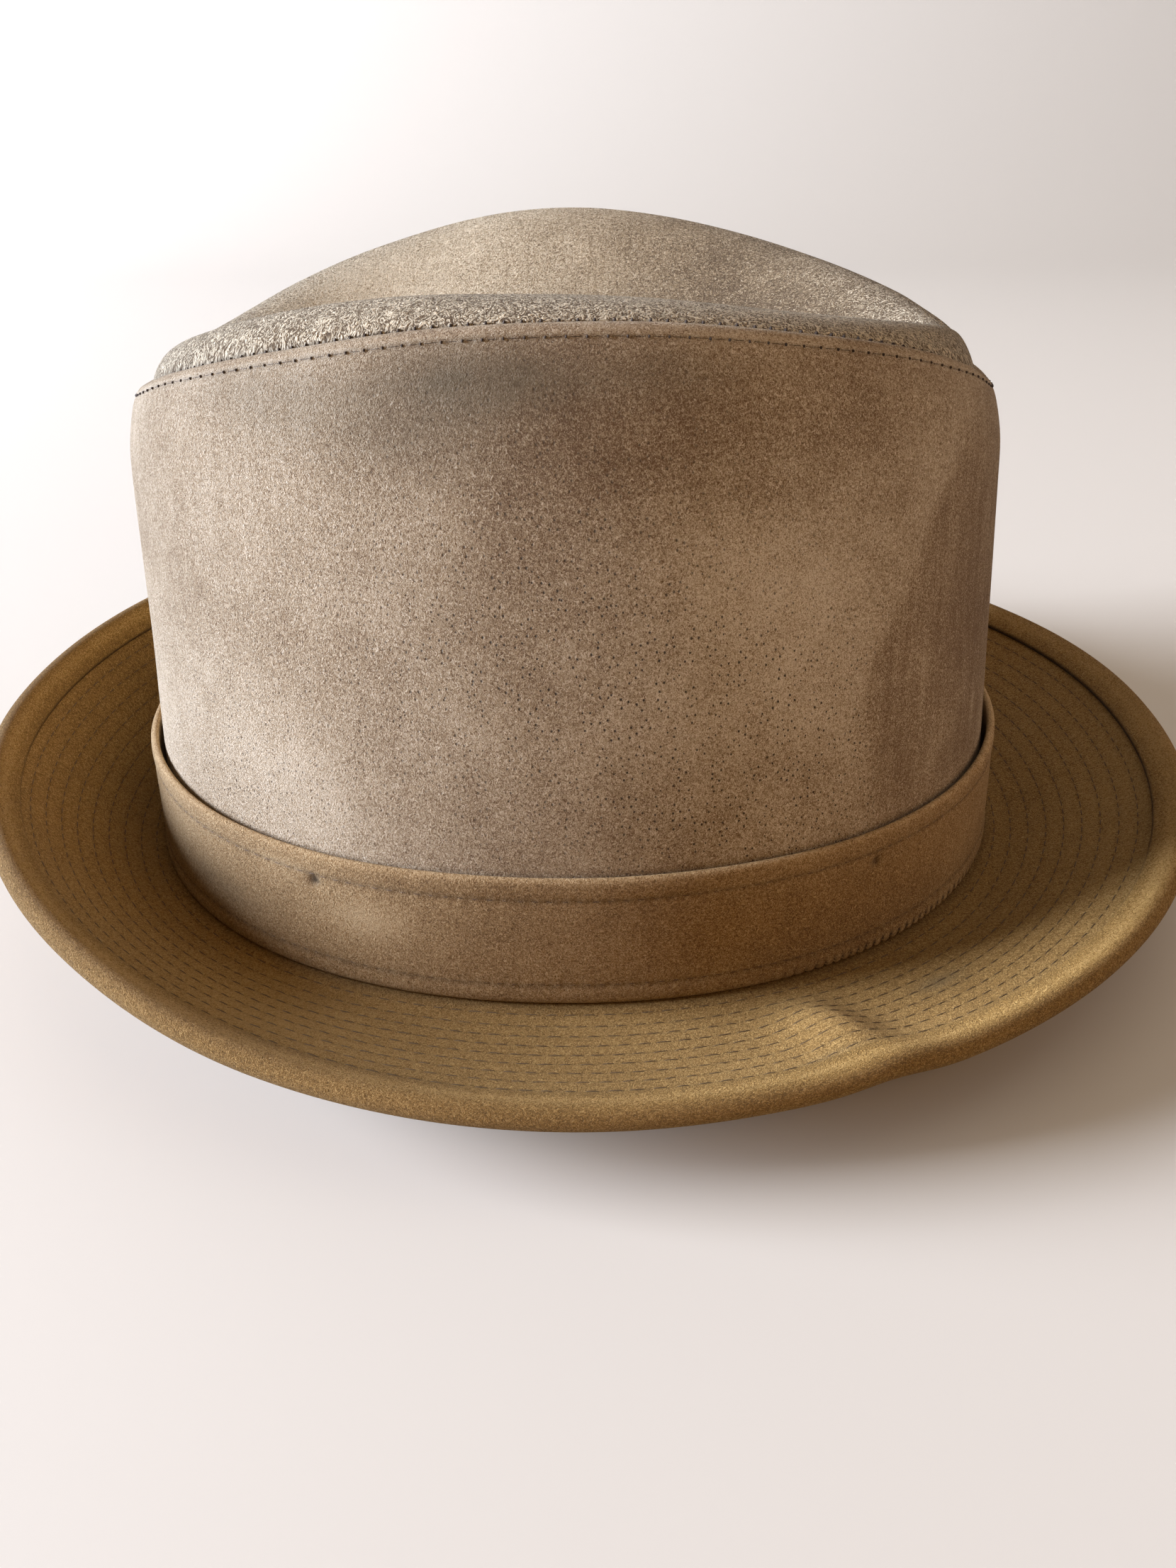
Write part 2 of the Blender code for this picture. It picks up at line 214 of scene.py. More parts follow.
# The seam's height: station in degrees, share of the way from its end height to its side height
SEAM = (
    (0, 0.00), (15, 0.07), (30, 0.36), (45, 0.63), (60, 0.83), (80, 1.00), (100, 0.97), (120, 0.75),
    (140, 0.46), (160, 0.13), (180, 0.00),
)

# The tip's ridge: station in degrees, share of RIDGE_RISE above the seam
RIDGE = (
    (0, 1.56), (15, 1.26), (45, 0.85), (60, 1.03), (75, 1.28), (90, 1.59), (110, 1.55), (130, 1.29),
    (155, 0.94), (180, 1.09), (210, 1.23), (240, 1.37), (270, 0.77), (300, 0.57), (325, 0.78),
    (345, 1.22),
)

# Slow waves in a worked sheet: waves round the hat, waves up the sheet, phase, share of the depth
SHEET_WAVES = (
    (3, 0.7, 0.4, 0.34),
    (5, 1.3, 2.1, 0.26),
    (8, 0.9, 4.0, 0.22),
    (13, 1.9, 5.2, 0.18),
)

# Marks on the crown's side, mostly uneven tone and scuffs; the pale spot low at station 227 is painted
# window light: station, height in mm, half width in mm, half height in mm, strength
CROWN_TONES = (
    (276, 108, 24, 14, -0.62),
    (268, 94, 9, 12, -0.22),
    (300, 104, 24, 16, -0.45),
    (270, 80, 12, 20, -0.20),
    (292, 80, 17, 12, 0.34),
    (286, 60, 20, 8, 0.22),
    (272, 50, 26, 12, 0.20),
    (262, 60, 16, 8, 0.20),
    (244, 40, 22, 13, 0.30),
    (227, 46, 24, 18, 0.55),
    (272, 84, 26, 26, -0.12),
    (316.5, 57, 1.0, 7, 0.35),
    (322, 48, 0.9, 9, 0.25),
    (332.5, 40.5, 1.2, 8, 0.35),
    (60, 80, 40, 30, -0.30),
    (120, 50, 40, 30, 0.25),
)
CROWN_SMUDGES = (
    (266, 117, 18, 5, 0.75),
    (258, 111, 20, 9, 0.55),
    (240, 112, 18, 6, 0.4),
    (282, 117, 12, 4, 0.35),
)
CROWN_PORES = (
    (296, 44, 34, 26, 1.0),
    (270, 74, 50, 40, 0.8),
    (228, 40, 30, 24, 0.5),
    (80, 50, 90, 40, 0.8),
)
CROWN_FLECKS = (
    (250, 85, 34, 34, 1.0),
    (272, 66, 22, 22, 0.6),
)

# Edge of the painted shadow, a darker zone near the front: height in mm, station where it starts
DARK_ZONE_EDGE = (
    (26, 310.5), (36, 309), (49, 307.5), (60, 306.5), (66, 308.5), (79, 314), (88, 317.5),
    (98, 323),
)

# Its other edge, with the same columns, and its top
DARK_ZONE_END = ((0, 357.0), (1, 357.0))
DARK_ZONE_TOP = 99.0 * MM

# How strong the painted shadow is: height in mm, share
DARK_ZONE_DEPTH = (
    (26, 0.35), (33, 0.80), (44, 0.60), (56, 0.90), (64, 1.0),
)

# Edge of the paler zone at the back, a painted pool of window light, which lies at smaller stations:
# height in mm, station
PALE_ZONE_EDGE = (
    (35, 217), (45, 221), (76, 234), (98, 246), (112, 249),
)

# How softly the marks' edges fade: the zones' sides, end and top, and the rubbed strip at the seam
DARK_EDGE = 0.8 * MM
DARK_END_EDGE = 5.0 * MM
DARK_TOP_EDGE = 4.0 * MM
PALE_EDGE = 3.5 * MM
STRIP_EDGE = 0.25 * MM

# Rows of points behind the fold, counted from where it rolls over, painted dark as the tip's shade
SHADED_ROWS = (6, 12)

# Tack pits in the band: station, height in mm, half width in mm, half height in mm, strength
BAND_PITS = (
    (243.0, 22.4, 1.4, 1.1, 1.0),
    (308.0, 21.6, 1.2, 1.1, 0.8),
)
PIT_DEPTH = 0.8 * MM

# Marks on the band, with the same columns
BAND_TONES = (
    (238.5, 24.5, 6, 0.9, 0.6),
    (250, 16, 8, 4, 0.85),
    (218, 22, 16, 7, 0.35),
    (300, 14, 40, 16, -0.15),
)
# Painted shadow low on the band's back, where the brim's turned-up rim shades it, in the grey of dirt
BAND_PAINTED_SHADOW = (
    (225, 11, 16, 5, 0.5),
    (212, 14, 16, 8, 0.2),
)

# Nicks in the band's lower edge: from which station to which, their fade in degrees, their pitch,
# depth and reach up the face, and the reach of their painted shade
NICKS_FROM = 299.0
NICKS_TO = 336.0
NICKS_FADE = 3.0
NICK_PITCH = 2.3 * MM
NICK_DEPTH = 1.2 * MM
NICK_REACH = 2.6 * MM
NICK_MARK = 1.9 * MM

# Wander of the nicks' pitch: length in mm, phase, size
NICK_WANDER = ((9.0, 0.0, 1.4), (3.7, 1.0, 1.0))

# How far the band's edges are rubbed pale, partly wear and partly a painted highlight on the rolled
# crests, and how wide the painted shade along its sewn rows is
BAND_RUB_AND_HIGHLIGHT = 0.8 * MM
BAND_ROW_SHADE = 0.35 * MM

# Painted light and shade on the brim and its binding: station, distance from the crown in mm, half
# widths in mm, strength
BRIM_PAINTED_LIGHT_AND_SHADE = (
    (249, 24, 34, 24, 0.42),
    (170, 36, 60, 24, -0.40),
    (352, 34, 50, 24, 0.22),
    (304, 32, 26, 24, -0.28),
)
BRIM_SMUDGES = (
    (308, 21.5, 6.0, 3.0, 0.6),
    (291, 38, 5.0, 1.5, 0.3),
)

# Half widths of the painted shade along the brim's sewn rows and beside the band
BRIM_ROW_SHADE = 0.45 * MM
BRIM_BAND_SHADE = 2.0 * MM

# Named values of the suede pieces' points, which their material reads
MARKS = ("tone", "dirt_and_shade", "painted_shade", "painted_shadow", "fuzz", "flecks", "streaks", "pores")

# Cloudy changes of the hide: size in mm, detail, roughness, twist, change of tone, relief in mm
CLOUDS = (
    (48.0, 3.0, 0.5, 0.0, 0.9, 0.0),
    (7.0, 3.0, 0.6, 0.0, 0.35, 0.10),
)

# Grain of the nap: size as a share of the nap's, then the same columns, its relief as a share
GRAIN = (
    (2.1, 2.0, 0.60, 2.5, 0.9, 1.3),
    (1.0, 3.0, 0.65, 1.6, 2.8, 1.0),
    (0.5, 1.0, 0.50, 0.0, 0.6, 0.4),
)

# Tufts where a mark asks for them: mark, size in mm, detail, roughness, twist, stretch up the sheet,
# noise from which they start, noise at which they are full, mean share, change of tone, relief in mm
TUFTS = (
    ("fuzz", 1.2, 2.0, 0.6, 3.5, 1.0, 0.42, 0.60, 0.40, 2.10, 1.60),
    ("flecks", 0.9, 1.0, 0.6, 2.0, 1.0, 0.60, 0.72, 0.08, 0.75, 0.30),
    ("streaks", 2.2, 2.0, 0.6, 0.0, 10.0, 0.30, 0.70, 0.50, 0.16, 0.0),
)

# How far the painted shadow near the front lowers the tone, how strong the grey of dirt and of painted
# shadow is, how far the clouds break it up, that grey, and the brown of painted shade in holes and creases
PAINTED_SHADOW_TONE = -0.30
DIRT_AND_SHADOW_STRENGTH = 0.7
DIRT_AND_SHADOW_PATCHES = 0.8
DIRT_AND_SHADOW_GREY = "#5b513c"
HOLLOW_SHADE_BROWN = "#3a2a1e"

# The suede shader's sockets that are the same all over
SUEDE_SHADER = (
    ("Specular IOR Level", 0.22),
    ("Diffuse Roughness", 1.0),
    ("Sheen Weight", 0.22),
    ("Sheen Roughness", 0.6),
)

# Pores: the threes' spacing, each one's distance from their middle, its radius, its place about the
# middle as an angle and a share of that distance, how far the threes stray, the least and largest
# radius, where a hole's edge starts and ends in radii, and how many are spared where few are asked for
PORE_SPACING_MM = 3.5
PORE_APART_MM = 0.85
PORE_RADIUS_MM = 0.16
PORE_TRIAD = ((0, 1.0), (130, 0.9), (235, 1.15))
PORE_JITTER = 0.9
PORE_SIZES = (0.75 * PORE_RADIUS_MM, 1.25 * PORE_RADIUS_MM)
PORE_EDGE = (0.6, 1.6)
PORE_SPARE = -0.35

# Where the ramp from deep to pale starts and ends, and two tones with the nap's roughness at each
TONE_RANGE = (0.05, 0.95)
NAP_ROUGHNESS = (0.2, 0.8, 0.98, 0.84)

# Suedes: colours of hollows, body and fibre tips, nap's size, relief and pores' depth in mm, and the
# share of the clouds' change of tone
SUEDES = {
    "pigskin_suede_taupe": ("#6a4e34", "#ab9576", "#d8c8b0", 0.40, 0.5, 0.5, 1.0),
    "coarse_suede_taupe": ("#584229", "#b09a78", "#eadbbf", 0.55, 0.7, 0.0, 1.0),
    "fine_suede_olive_tan": ("#65492a", "#98794e", "#c1a77f", 0.45, 0.4, 0.0, 0.8),
    "stitched_suede_olive_tan": ("#5c431e", "#886634", "#ae8e57", 0.50, 0.4, 0.0, 0.4),
    "rolled_suede_olive_tan": ("#62471f", "#8d6a33", "#b9965b", 0.50, 0.6, 0.0, 0.5),
}

# Threads: colour of the twist and of its worn fibres, then the twist's grain and relief
THREADS = {
    "spun_thread_dark_brown": ("#43342a", "#5a4636"),
    "spun_thread_blackish_brown": ("#261c14", "#3a2c20"),
    "spun_thread_olive_brown": ("#4a3a24", "#5f4b32"),
}
STRAND_MM = 0.25
STRAND_RELIEF = 0.05 * MM
THREAD_BUMP = 0.5
THREAD_SHADER = (
    ("Roughness", 0.75),
    ("Specular IOR Level", 0.3),
)

# Socket numbers of a colour Mix node
FACTOR, FROM, TO, MIXED = 0, 6, 7, 2

# Floor: its front, where its sweep starts behind the hat, the sweep's radius, its top and sides
FLOOR_FRONT = -3.0
FLOOR_BACK = 1.0
FLOOR_SWEEP = 1.2
FLOOR_TOP = 4.0
FLOOR_SIDE = 4.0
FLOOR_COLOR = "#b5ada1"

# Soft square lights that face the hat: name, place, size, power in watts, colour. Then the point that
# they face, and the light from all round
LIGHTS = (
    ("window", (-3.00, -0.08, 0.85), 1.4, 610.0, "#e0eaff"),
    ("ceiling", (0.3, 0.3, 1.7), 1.6, 6.0, "#f6f2ea"),
    ("front_side", (1.5, 0.1, 0.8), 1.4, 7.5, "#e2ecff"),
    ("fill", (1.0, -1.3, 0.9), 1.6, 9.0, "#ffc47e"),
)
LIGHT_AIM = Vector((0, 0, 0.06))
SURROUND_COLOR = "#f2d2aa"
SURROUND_STRENGTH = 0.26

# Camera: its place, its turns in degrees, and its focal length and picture height in pixels
CAMERA_PLACE = (0.00923, -0.26217, 0.1584)
CAMERA_YAW, CAMERA_PITCH, CAMERA_ROLL, CAMERA_HEADING = 0.75, 30.58, -1.07, 3.0
SENSOR_MM = 36.0
FOCAL_PIXELS = 1661
PHOTO_HEIGHT = 2212
CLIP_START = 0.01


def oval(half_length, half_width, angles):
    """Points of a superellipse: each half axis times its cosine or sine to the power 2 / OVAL_POWER"""
    turn = np.radians(angles)
    along = np.sign(np.cos(turn)) * np.abs(np.cos(turn)) ** (2 / OVAL_POWER)
    across = np.sign(np.sin(turn)) * np.abs(np.sin(turn)) ** (2 / OVAL_POWER)
    return half_length * along, half_width * across


def foot_oval(angles, extra=0.0):
    """Crown's foot oval with both half axes longer by extra"""
    return oval(HALF_LENGTH + extra, HALF_WIDTH + extra, angles)


def outward(angles):
    """Unit normals of the crown's foot oval: the slope of the superellipse's own equation"""
    x, y = foot_oval(angles)
    slope_x = np.sign(x) * np.abs(x / HALF_LENGTH) ** (OVAL_POWER - 1) / HALF_LENGTH
    slope_y = np.sign(y) * np.abs(y / HALF_WIDTH) ** (OVAL_POWER - 1) / HALF_WIDTH
    length = np.hypot(slope_x, slope_y)
    return slope_x / length, slope_y / length


def round_table(table, angles):
    """Smooth closed curve through a table's values: cubic pieces with the neighbours' mean slope"""
    places = np.array([row[0] for row in table], float)
    values = np.array([row[1] for row in table], float)
    places = np.concatenate((places[-2:] - 360, places, places[:2] + 360))
    values = np.concatenate((values[-2:], values, values[:2]))
    slopes = np.gradient(values, places)
    index = np.clip(np.searchsorted(places, angles, side="right") - 1, 0, len(places) - 2)
    gap = places[index + 1] - places[index]
    share = (angles - places[index]) / gap
    rise = share ** 2 * (3 - 2 * share)
    bend_in = share * (1 - share) ** 2
    bend_out = -(share ** 2) * (1 - share)
    return (
        values[index] * (1 - rise)
        + values[index + 1] * rise
        + gap * (slopes[index] * bend_in + slopes[index + 1] * bend_out)
    )


def seam_height(angles):
    """Height of the fold above the crown's foot: the SEAM table, the same on both sides"""
    other_side = tuple((360 - place, share) for place, share in reversed(SEAM[1:-1]))
    share = round_table(SEAM + other_side, angles)
    return SEAM_HEIGHT_END + (SEAM_HEIGHT_SIDE - SEAM_HEIGHT_END) * share


def steps_round(count):
    """Stations at even steps round the oval"""
    return np.arange(count) * 360.0 / count


def running(steps):
    """Running sum of the steps, from 0"""
    return np.concatenate(([0.0], np.cumsum(steps)))


def arc_round(angles, extra=0.0):
    """Length of the foot oval, widened by extra, from the front to each station and once round"""
    x, y = foot_oval(np.append(angles, 360.0), extra)
    return running(np.hypot(np.diff(x), np.diff(y)))


def rim_arc(angles, place):
    """Length along the brim's rim from one station to the others: the turn times a mean radius"""
    turn = np.radians((angles - place + 180) % 360 - 180)
    return turn * (HALF_LENGTH + HALF_WIDTH + 2 * BRIM_WIDTH) / 2


def bell(distance, half_width=GROOVE_HALF_WIDTH):
    """Bell that is 1 at no distance: e to the power minus the square of distance over half width"""
    return np.exp(-((distance / half_width) ** 2))


def soft_step(share):
    """Soft step from 0 to 1 about 0: one over one plus e to the power minus the share"""
    return 1 / (1 + np.exp(-np.clip(share, -30, 30)))


def blot(marks, angles, height, extra=0.0):
    """Sum of soft spots, each its strength times a bell of its two distances over its half widths"""
    arc = arc_round(angles, extra)
    total = np.zeros(np.broadcast_shapes(height.shape, angles.shape))
    for station, place, half_width, half_height, strength in marks:
        middle = np.interp(station, np.append(angles, 360.0), arc)
        across = (arc[:-1] - middle + arc[-1] / 2) % arc[-1] - arc[-1] / 2
        reach = (across / (half_width * MM)) ** 2 + ((height - place * MM) / (half_height * MM)) ** 2
        total = total + strength * np.exp(-reach)
    return total


def waves(angles, height, depth):
    """Slow waves of a sheet worked by hand: a sum of sines of the station and the height"""
    turn = np.radians(angles)
    total = 0.0
    for around, up, phase, share in SHEET_WAVES:
        total = total + share * np.sin(around * turn + phase + up * height / WAVE_SPAN)
    return depth * total


def pulled(arc, pitch):
    """How hard the thread pulls along a row: 1 at each needle hole and less between them"""
    near_hole = (0.5 + 0.5 * np.cos(2 * math.pi * arc / pitch)) ** 3
    return PULL_BETWEEN_HOLES + (1 - PULL_BETWEEN_HOLES) * near_hole


def even_pitch(length, pitch):
    """The pitch nearest to the given one that fits a whole number of times round the length"""
    return length / round(length / pitch)


def crown_surface(angles, height, inset):
    """Crown's side: the foot oval drawn in by CROWN_TAPER of the height, and faster near the fold"""
    share = np.clip((height / seam_height(angles) - LEAN_START) / (1 - LEAN_START), 0, None)
    draw = CROWN_TAPER * height + TOP_LEAN * share ** LEAN_POWER + inset
    return np.stack(np.broadcast_arrays(*foot_oval(angles, -draw), FOOT + height), axis=-1)


def crown_relief(angles, height):
    """How far the side's outer face stands out: waves, a soft hem by the fold and the needle row"""
    below_fold = seam_height(angles) - height
    arc = arc_round(angles)[:-1]
    pitch = even_pitch(arc_round(angles)[-1], SEAM_PITCH)
    clear_of_band = np.clip((height - BAND_HEIGHT - CROWN_WAVES_FROM) / CROWN_WAVES_GROW, 0, 1)
    clear_of_fold = np.clip(below_fold / CROWN_WAVES_FADE, 0, 1)
    hem = CROWN_HEM * np.exp(-((below_fold / CROWN_HEM_REACH) ** 4))
    row = SEAM_PULL * bell(below_fold - SEAM_ROW_DROP, SEAM_GROOVE_HALF_WIDTH) * pulled(arc, pitch)
    return waves(angles, height, CROWN_WAVES) * clear_of_band * clear_of_fold + hem - row


def tip_height(angles, share):
    """Top surface of the tip above the crown's foot at a share of the way to its edge.

    The seam's height at the same place along the hat, plus a ridge that rises just inside the edge,
    less a long dent along the middle. The ridge evens out towards the middle, and lies nearer to the
    edge at the hat's two ends. The dent fades out at the ends, and across the hat at the ridges.
    """
    along, across = oval(1.0, 1.0, angles)
    forward = np.sign(along) * np.abs(share * along) ** (OVAL_POWER / 2)
    arch = seam_height(np.degrees(np.arccos(np.clip(forward, -1, 1))))
    place = RIDGE_PLACE_SIDE + (RIDGE_PLACE_END - RIDGE_PLACE_SIDE) * along ** 2
    climb = np.clip((1 - share) / (1 - place), 0, 1)
    blend = np.minimum(share / place, 1.0) ** RIDGE_BLEND_POWER
    round_off = np.sin(climb * math.pi / 2) ** RIDGE_ROUND_POWER
    rise = RIDGE_RISE * (1 + (round_table(RIDGE, angles) - 1) * blend) * round_off
    dent_along = np.abs(share * along) ** DENT_LENGTH_POWER
    dent_across = np.abs(share * across / RIDGE_PLACE_SIDE) ** DENT_WIDTH_POWER
    reach = np.clip(dent_along + dent_across, 0, 1)
    dent = DENT_DEPTH * (1 + np.cos(math.pi * reach)) / 2
    return arch + rise - dent - TIP_DROP


def tip_surface(angles, share, inset, drop):
    """Tip's top surface, or its underside when inset and dropped: edge oval times the share"""
    seam = seam_height(angles)
    edge = crown_surface(angles, seam - TIP_DROP, FOLD_THICKNESS + CLEARANCE + inset)
    height = tip_height(angles, share) - drop
    x, y = edge[..., 0] * share, edge[..., 1] * share
    return np.stack((x, y, FOOT + height), axis=-1)


def tip_slope_drop(angles, share):
    """Drop that keeps the wall's thickness where the top surface slopes, up to SLOPE_LIMIT"""
    seam = seam_height(angles)
    edge = crown_surface(angles, seam - TIP_DROP, FOLD_THICKNESS + CLEARANCE)
    reach = np.hypot(edge[..., 0], edge[..., 1])
    low = np.maximum(share - SLOPE_NUDGE, 0.0)
    high = np.minimum(share + SLOPE_NUDGE, 1.0)
    slope = (tip_height(angles, high) - tip_height(angles, low)) / (reach * (high - low))
    return TIP_WALL * np.sqrt(1 + np.clip(slope, -SLOPE_LIMIT, SLOPE_LIMIT) ** 2)


def brim_curve(angles, distance):
    """Brim's middle surface at distances from the crown's wall: reach out, height and slope.

    The slope is 0 over the flat, then grows with the distance beyond it to BRIM_CURL_POWER. A bell
    across the buckle's place lifts it there.
    """
    steps = np.linspace(0, BRIM_WIDTH, CURVE_STEPS + 1)
    growth = np.clip((steps - BRIM_FLAT) / (BRIM_WIDTH - BRIM_FLAT), 0, None) ** BRIM_CURL_POWER
    rim_slope = np.radians(BRIM_TURN_ANGLE) * round_table(BRIM_TURN, angles)
    slope = growth[:, None] * rim_slope
    middle = (slope[1:] + slope[:-1]) / 2
    step = BRIM_WIDTH / CURVE_STEPS
    start = np.zeros((1, len(angles)))
    out = np.concatenate((start, np.cumsum(np.cos(middle), axis=0) * step))
    up = np.concatenate((start, np.cumsum(np.sin(middle), axis=0) * step))
    place = np.maximum(distance, 0.0) / step
    index = np.minimum(place.astype(int), CURVE_STEPS - 1)
    share = (place - index)[:, None]
    reach = out[index] * (1 - share) + out[index + 1] * share + np.minimum(distance, 0.0)[:, None]
    height = up[index] * (1 - share) + up[index + 1] * share
    tilt = slope[index] * (1 - share) + slope[index + 1] * share
    width_share = np.clip((distance - BRIM_FLAT) / (BRIM_WIDTH - BRIM_FLAT), 0, 1)
    swell = np.sin(math.pi * width_share ** BUCKLE_PEAK_POWER) ** BUCKLE_FADE_POWER
    swell = swell + BUCKLE_AT_RIM * width_share ** BUCKLE_RIM_POWER
    across = bell(rim_arc(angles, BUCKLE_PLACE), BUCKLE_HALF_WIDTH)
    height = height + BUCKLE_HEIGHT * swell[:, None] * across
    return reach, height, tilt


def brim_surface(angles, distance, proud):
    """Surface standing proud of the brim's middle surface, along its own normal"""
    reach, height, tilt = brim_curve(angles, distance)
    normal_x, normal_y = outward(angles)
    x, y = foot_oval(angles)
    spread = reach - np.sin(tilt) * proud
    z = BRIM_WALL / 2 + height + np.cos(tilt) * proud
    return np.stack((x + normal_x * spread, y + normal_y * spread, z), axis=-1)


def brim_rows():
    """Distances of the brim's sewn rows from the crown's wall"""
    return BRIM_ROW_FIRST + BRIM_ROW_STEP * np.arange(BRIM_ROW_COUNT)


def brim_relief(angles, distance):
    """How far the brim's top stands out: puffed strips between the sewn rows, pulled in on them"""
    arc = arc_round(angles, BRIM_WIDTH / 2)
    total = np.zeros((len(distance), len(angles)))
    for row in brim_rows():
        pitch = even_pitch(arc[-1], BRIM_PITCH)
        total = total + bell(distance - row)[:, None] * pulled(arc[:-1], pitch)
    return waves(angles, distance[:, None], BRIM_WAVES) - BRIM_PULL * total


def quads_of(rows, columns, closed_rows):
    """Corners of a grid's quads. Its columns close round the hat; its rows may close round a wall"""
    row = np.arange(rows if closed_rows else rows - 1)[:, None]
    column = np.arange(columns)[None, :]
    below = row * columns
    above = (row + 1) % rows * columns
    after = (column + 1) % columns
    corners = (below + column, below + after, above + after, above + column)
    return np.stack(np.broadcast_arrays(*corners), axis=-1).reshape(-1, 4)


def corner_values(grid):
    """Values at the corners of each quad, from a grid with one more column and row than quads"""
    corners = (grid[:-1, :-1], grid[:-1, 1:], grid[1:, 1:], grid[1:, :-1])
    return np.stack(corners, axis=2).reshape(-1, grid.shape[-1])


def new_piece(name, points, face_sets, material, sheet=None, marks=None):
    """Mesh object from an array of points and arrays of faces, which rides on the hat's body.

    sheet holds the flat place of each face corner on its cut sheet, in metres, and marks named
    values for every point.
    """
    corners = np.concatenate([faces.ravel() for faces in face_sets])
    sizes = np.concatenate([np.full(len(faces), faces.shape[1]) for faces in face_sets])
    mesh = bpy.data.meshes.new(name)
    mesh.vertices.add(len(points))
    mesh.vertices.foreach_set("co", np.ascontiguousarray(points, np.float32).ravel())
    mesh.loops.add(len(corners))
    mesh.loops.foreach_set("vertex_index", corners.astype(np.int32))
    mesh.polygons.add(len(sizes))
    mesh.polygons.foreach_set("loop_start", running(sizes)[:-1].astype(np.int32))
    if sheet is not None:
        layer = mesh.uv_layers.new(name="hide")
        layer.data.foreach_set("uv", np.ascontiguousarray(sheet, np.float32).ravel())
    for mark, values in (marks or {}).items():
        attribute = mesh.attributes.new(mark, "FLOAT", "POINT")
        attribute.data.foreach_set("value", np.ascontiguousarray(values, np.float32).ravel())
    mesh.update(calc_edges=True)
    mesh.shade_smooth()
    mesh.materials.append(material)
    piece = bpy.data.objects.new(name, mesh)
    bpy.context.scene.collection.objects.link(piece)
    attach(piece, "root")
    return piece


def wall_piece(name, grid, material, sheet, marks):
    """Piece whose grid of points closes round the hat and round the section of its wall"""
    faces = [quads_of(*grid.shape[:2], True)]
    return new_piece(name, grid.reshape(-1, 3), faces, material, corner_values(sheet), marks)


def wrap_sheet(along, up):
    """Flat places on the cut sheet from the lengths round the hat and over the wall, both closed"""
    return np.stack(np.broadcast_arrays(along[None, :], up[:, None]), axis=-1)


def build_crown_side(material):
    """Side panel: up its outer face, over the rolled fold, down its inner face and under its foot"""
    angles = steps_round(CROWN_STEPS)
    seam = seam_height(angles)
    roll = FOLD_THICKNESS / 2
    plain = np.linspace(0, 1, CROWN_FACE)[:-1, None] * (seam - FOLD_DEPTH)
    hemmed = seam - FOLD_DEPTH + np.linspace(0, 1, CROWN_HEMMED)[:, None] * (FOLD_DEPTH - roll)
    outer = np.concatenate((plain, hemmed))
    turn = np.linspace(0, math.pi, CROWN_ROLL)[1:-1, None]
    over_up = seam - roll + roll * np.sin(turn) ** FOLD_ROUND_POWER
    over_in = roll * (1 - np.sign(np.cos(turn)) * np.abs(np.cos(turn)) ** FOLD_ROUND_POWER)
    inside = seam - roll - np.linspace(0, 1, CROWN_FOLDED)[:, None] * (FOLD_DEPTH - roll)
    lining = (1 - np.linspace(0, 1, CROWN_LINING)[:, None]) * (seam - FOLD_DEPTH - FOLD_STEP)
    height = np.concatenate((outer, over_up, inside, lining))
    inset = np.concatenate((
        -crown_relief(angles, outer),
        np.broadcast_to(over_in, over_up.shape),
        np.full_like(inside, FOLD_THICKNESS),
        np.full_like(lining, CROWN_WALL),
    ))
    seen = np.zeros_like(height)
    seen[:len(outer)] = 1
    below_fold = seam - height
    behind_fold = np.zeros_like(height)
    behind_fold[len(outer) + SHADED_ROWS[0]:len(outer) + SHADED_ROWS[1]] = 1
    strip = soft_step((SEAM_ROW_DROP - below_fold) / STRIP_EDGE)
    painted_light_zone = 1 - past_edge(angles, height, PALE_ZONE_EDGE, PALE_EDGE)
    dark_zone = crown_dark_zone(angles, height)
    pored = np.clip(0.15 + blot(CROWN_PORES, angles, height) - dark_zone, 0, 1)
    marks = {
        # Tone: the paler zone at the back and the pale spot low at station 227 are painted window light
        "tone": seen * (blot(CROWN_TONES, angles, height) + 0.45 * strip + 0.22 * painted_light_zone),
        "dirt_and_shade": seen * blot(CROWN_SMUDGES, angles, height),
        "pores": seen * (1 - strip) * pored,
        # Painted shade in the seam's needle groove and on the rows behind the fold
        "painted_shade": 0.25 * seen * bell(below_fold - SEAM_ROW_DROP, STRIP_EDGE) + behind_fold,
        # Painted shadow: the darker zone near the front
        "painted_shadow": seen * dark_zone,
        "fuzz": seen * 0.07 * (1 - dark_zone),
        "flecks": seen * np.clip(0.25 + blot(CROWN_FLECKS, angles, height), 0, 1) * (1 - dark_zone),
        "streaks": seen * np.clip(0.15 + 0.85 * dark_zone + 0.55 * painted_light_zone, 0, 1),
    }
    profile = running(np.abs(np.diff(height[:, 0])) + np.abs(np.diff(inset[:, 0])))
    sheet = wrap_sheet(arc_round(angles), np.append(profile, profile[-1] + CROWN_WALL))
    grid = crown_surface(angles, height, inset) + AXIS
    piece = wall_piece("crown_side_suede", grid, material, sheet, marks)
    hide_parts("crown_side")


def past_edge(angles, height, edge, softness):
    """Soft step from 0 to 1 across a line on the crown, given by a table of heights and stations"""
    arc = arc_round(angles)
    stations = np.interp([row[1] for row in edge], np.append(angles, 360.0), arc)
    line = np.interp(height, [row[0] * MM for row in edge], stations)
    return soft_step((arc[:-1] - line) / softness)


def crown_dark_zone(angles, height):
    """Painted shadow, a darker zone near the front: past its edge, short of its end and top, by its table of
    depths
    """
    side = past_edge(angles, height, DARK_ZONE_EDGE, DARK_EDGE)
    end = 1 - past_edge(angles, height, DARK_ZONE_END, DARK_END_EDGE)
    top = soft_step((DARK_ZONE_TOP - height) / DARK_TOP_EDGE)
    places, depths = zip(*DARK_ZONE_DEPTH)
    return side * end * top * np.interp(height, np.array(places) * MM, depths)


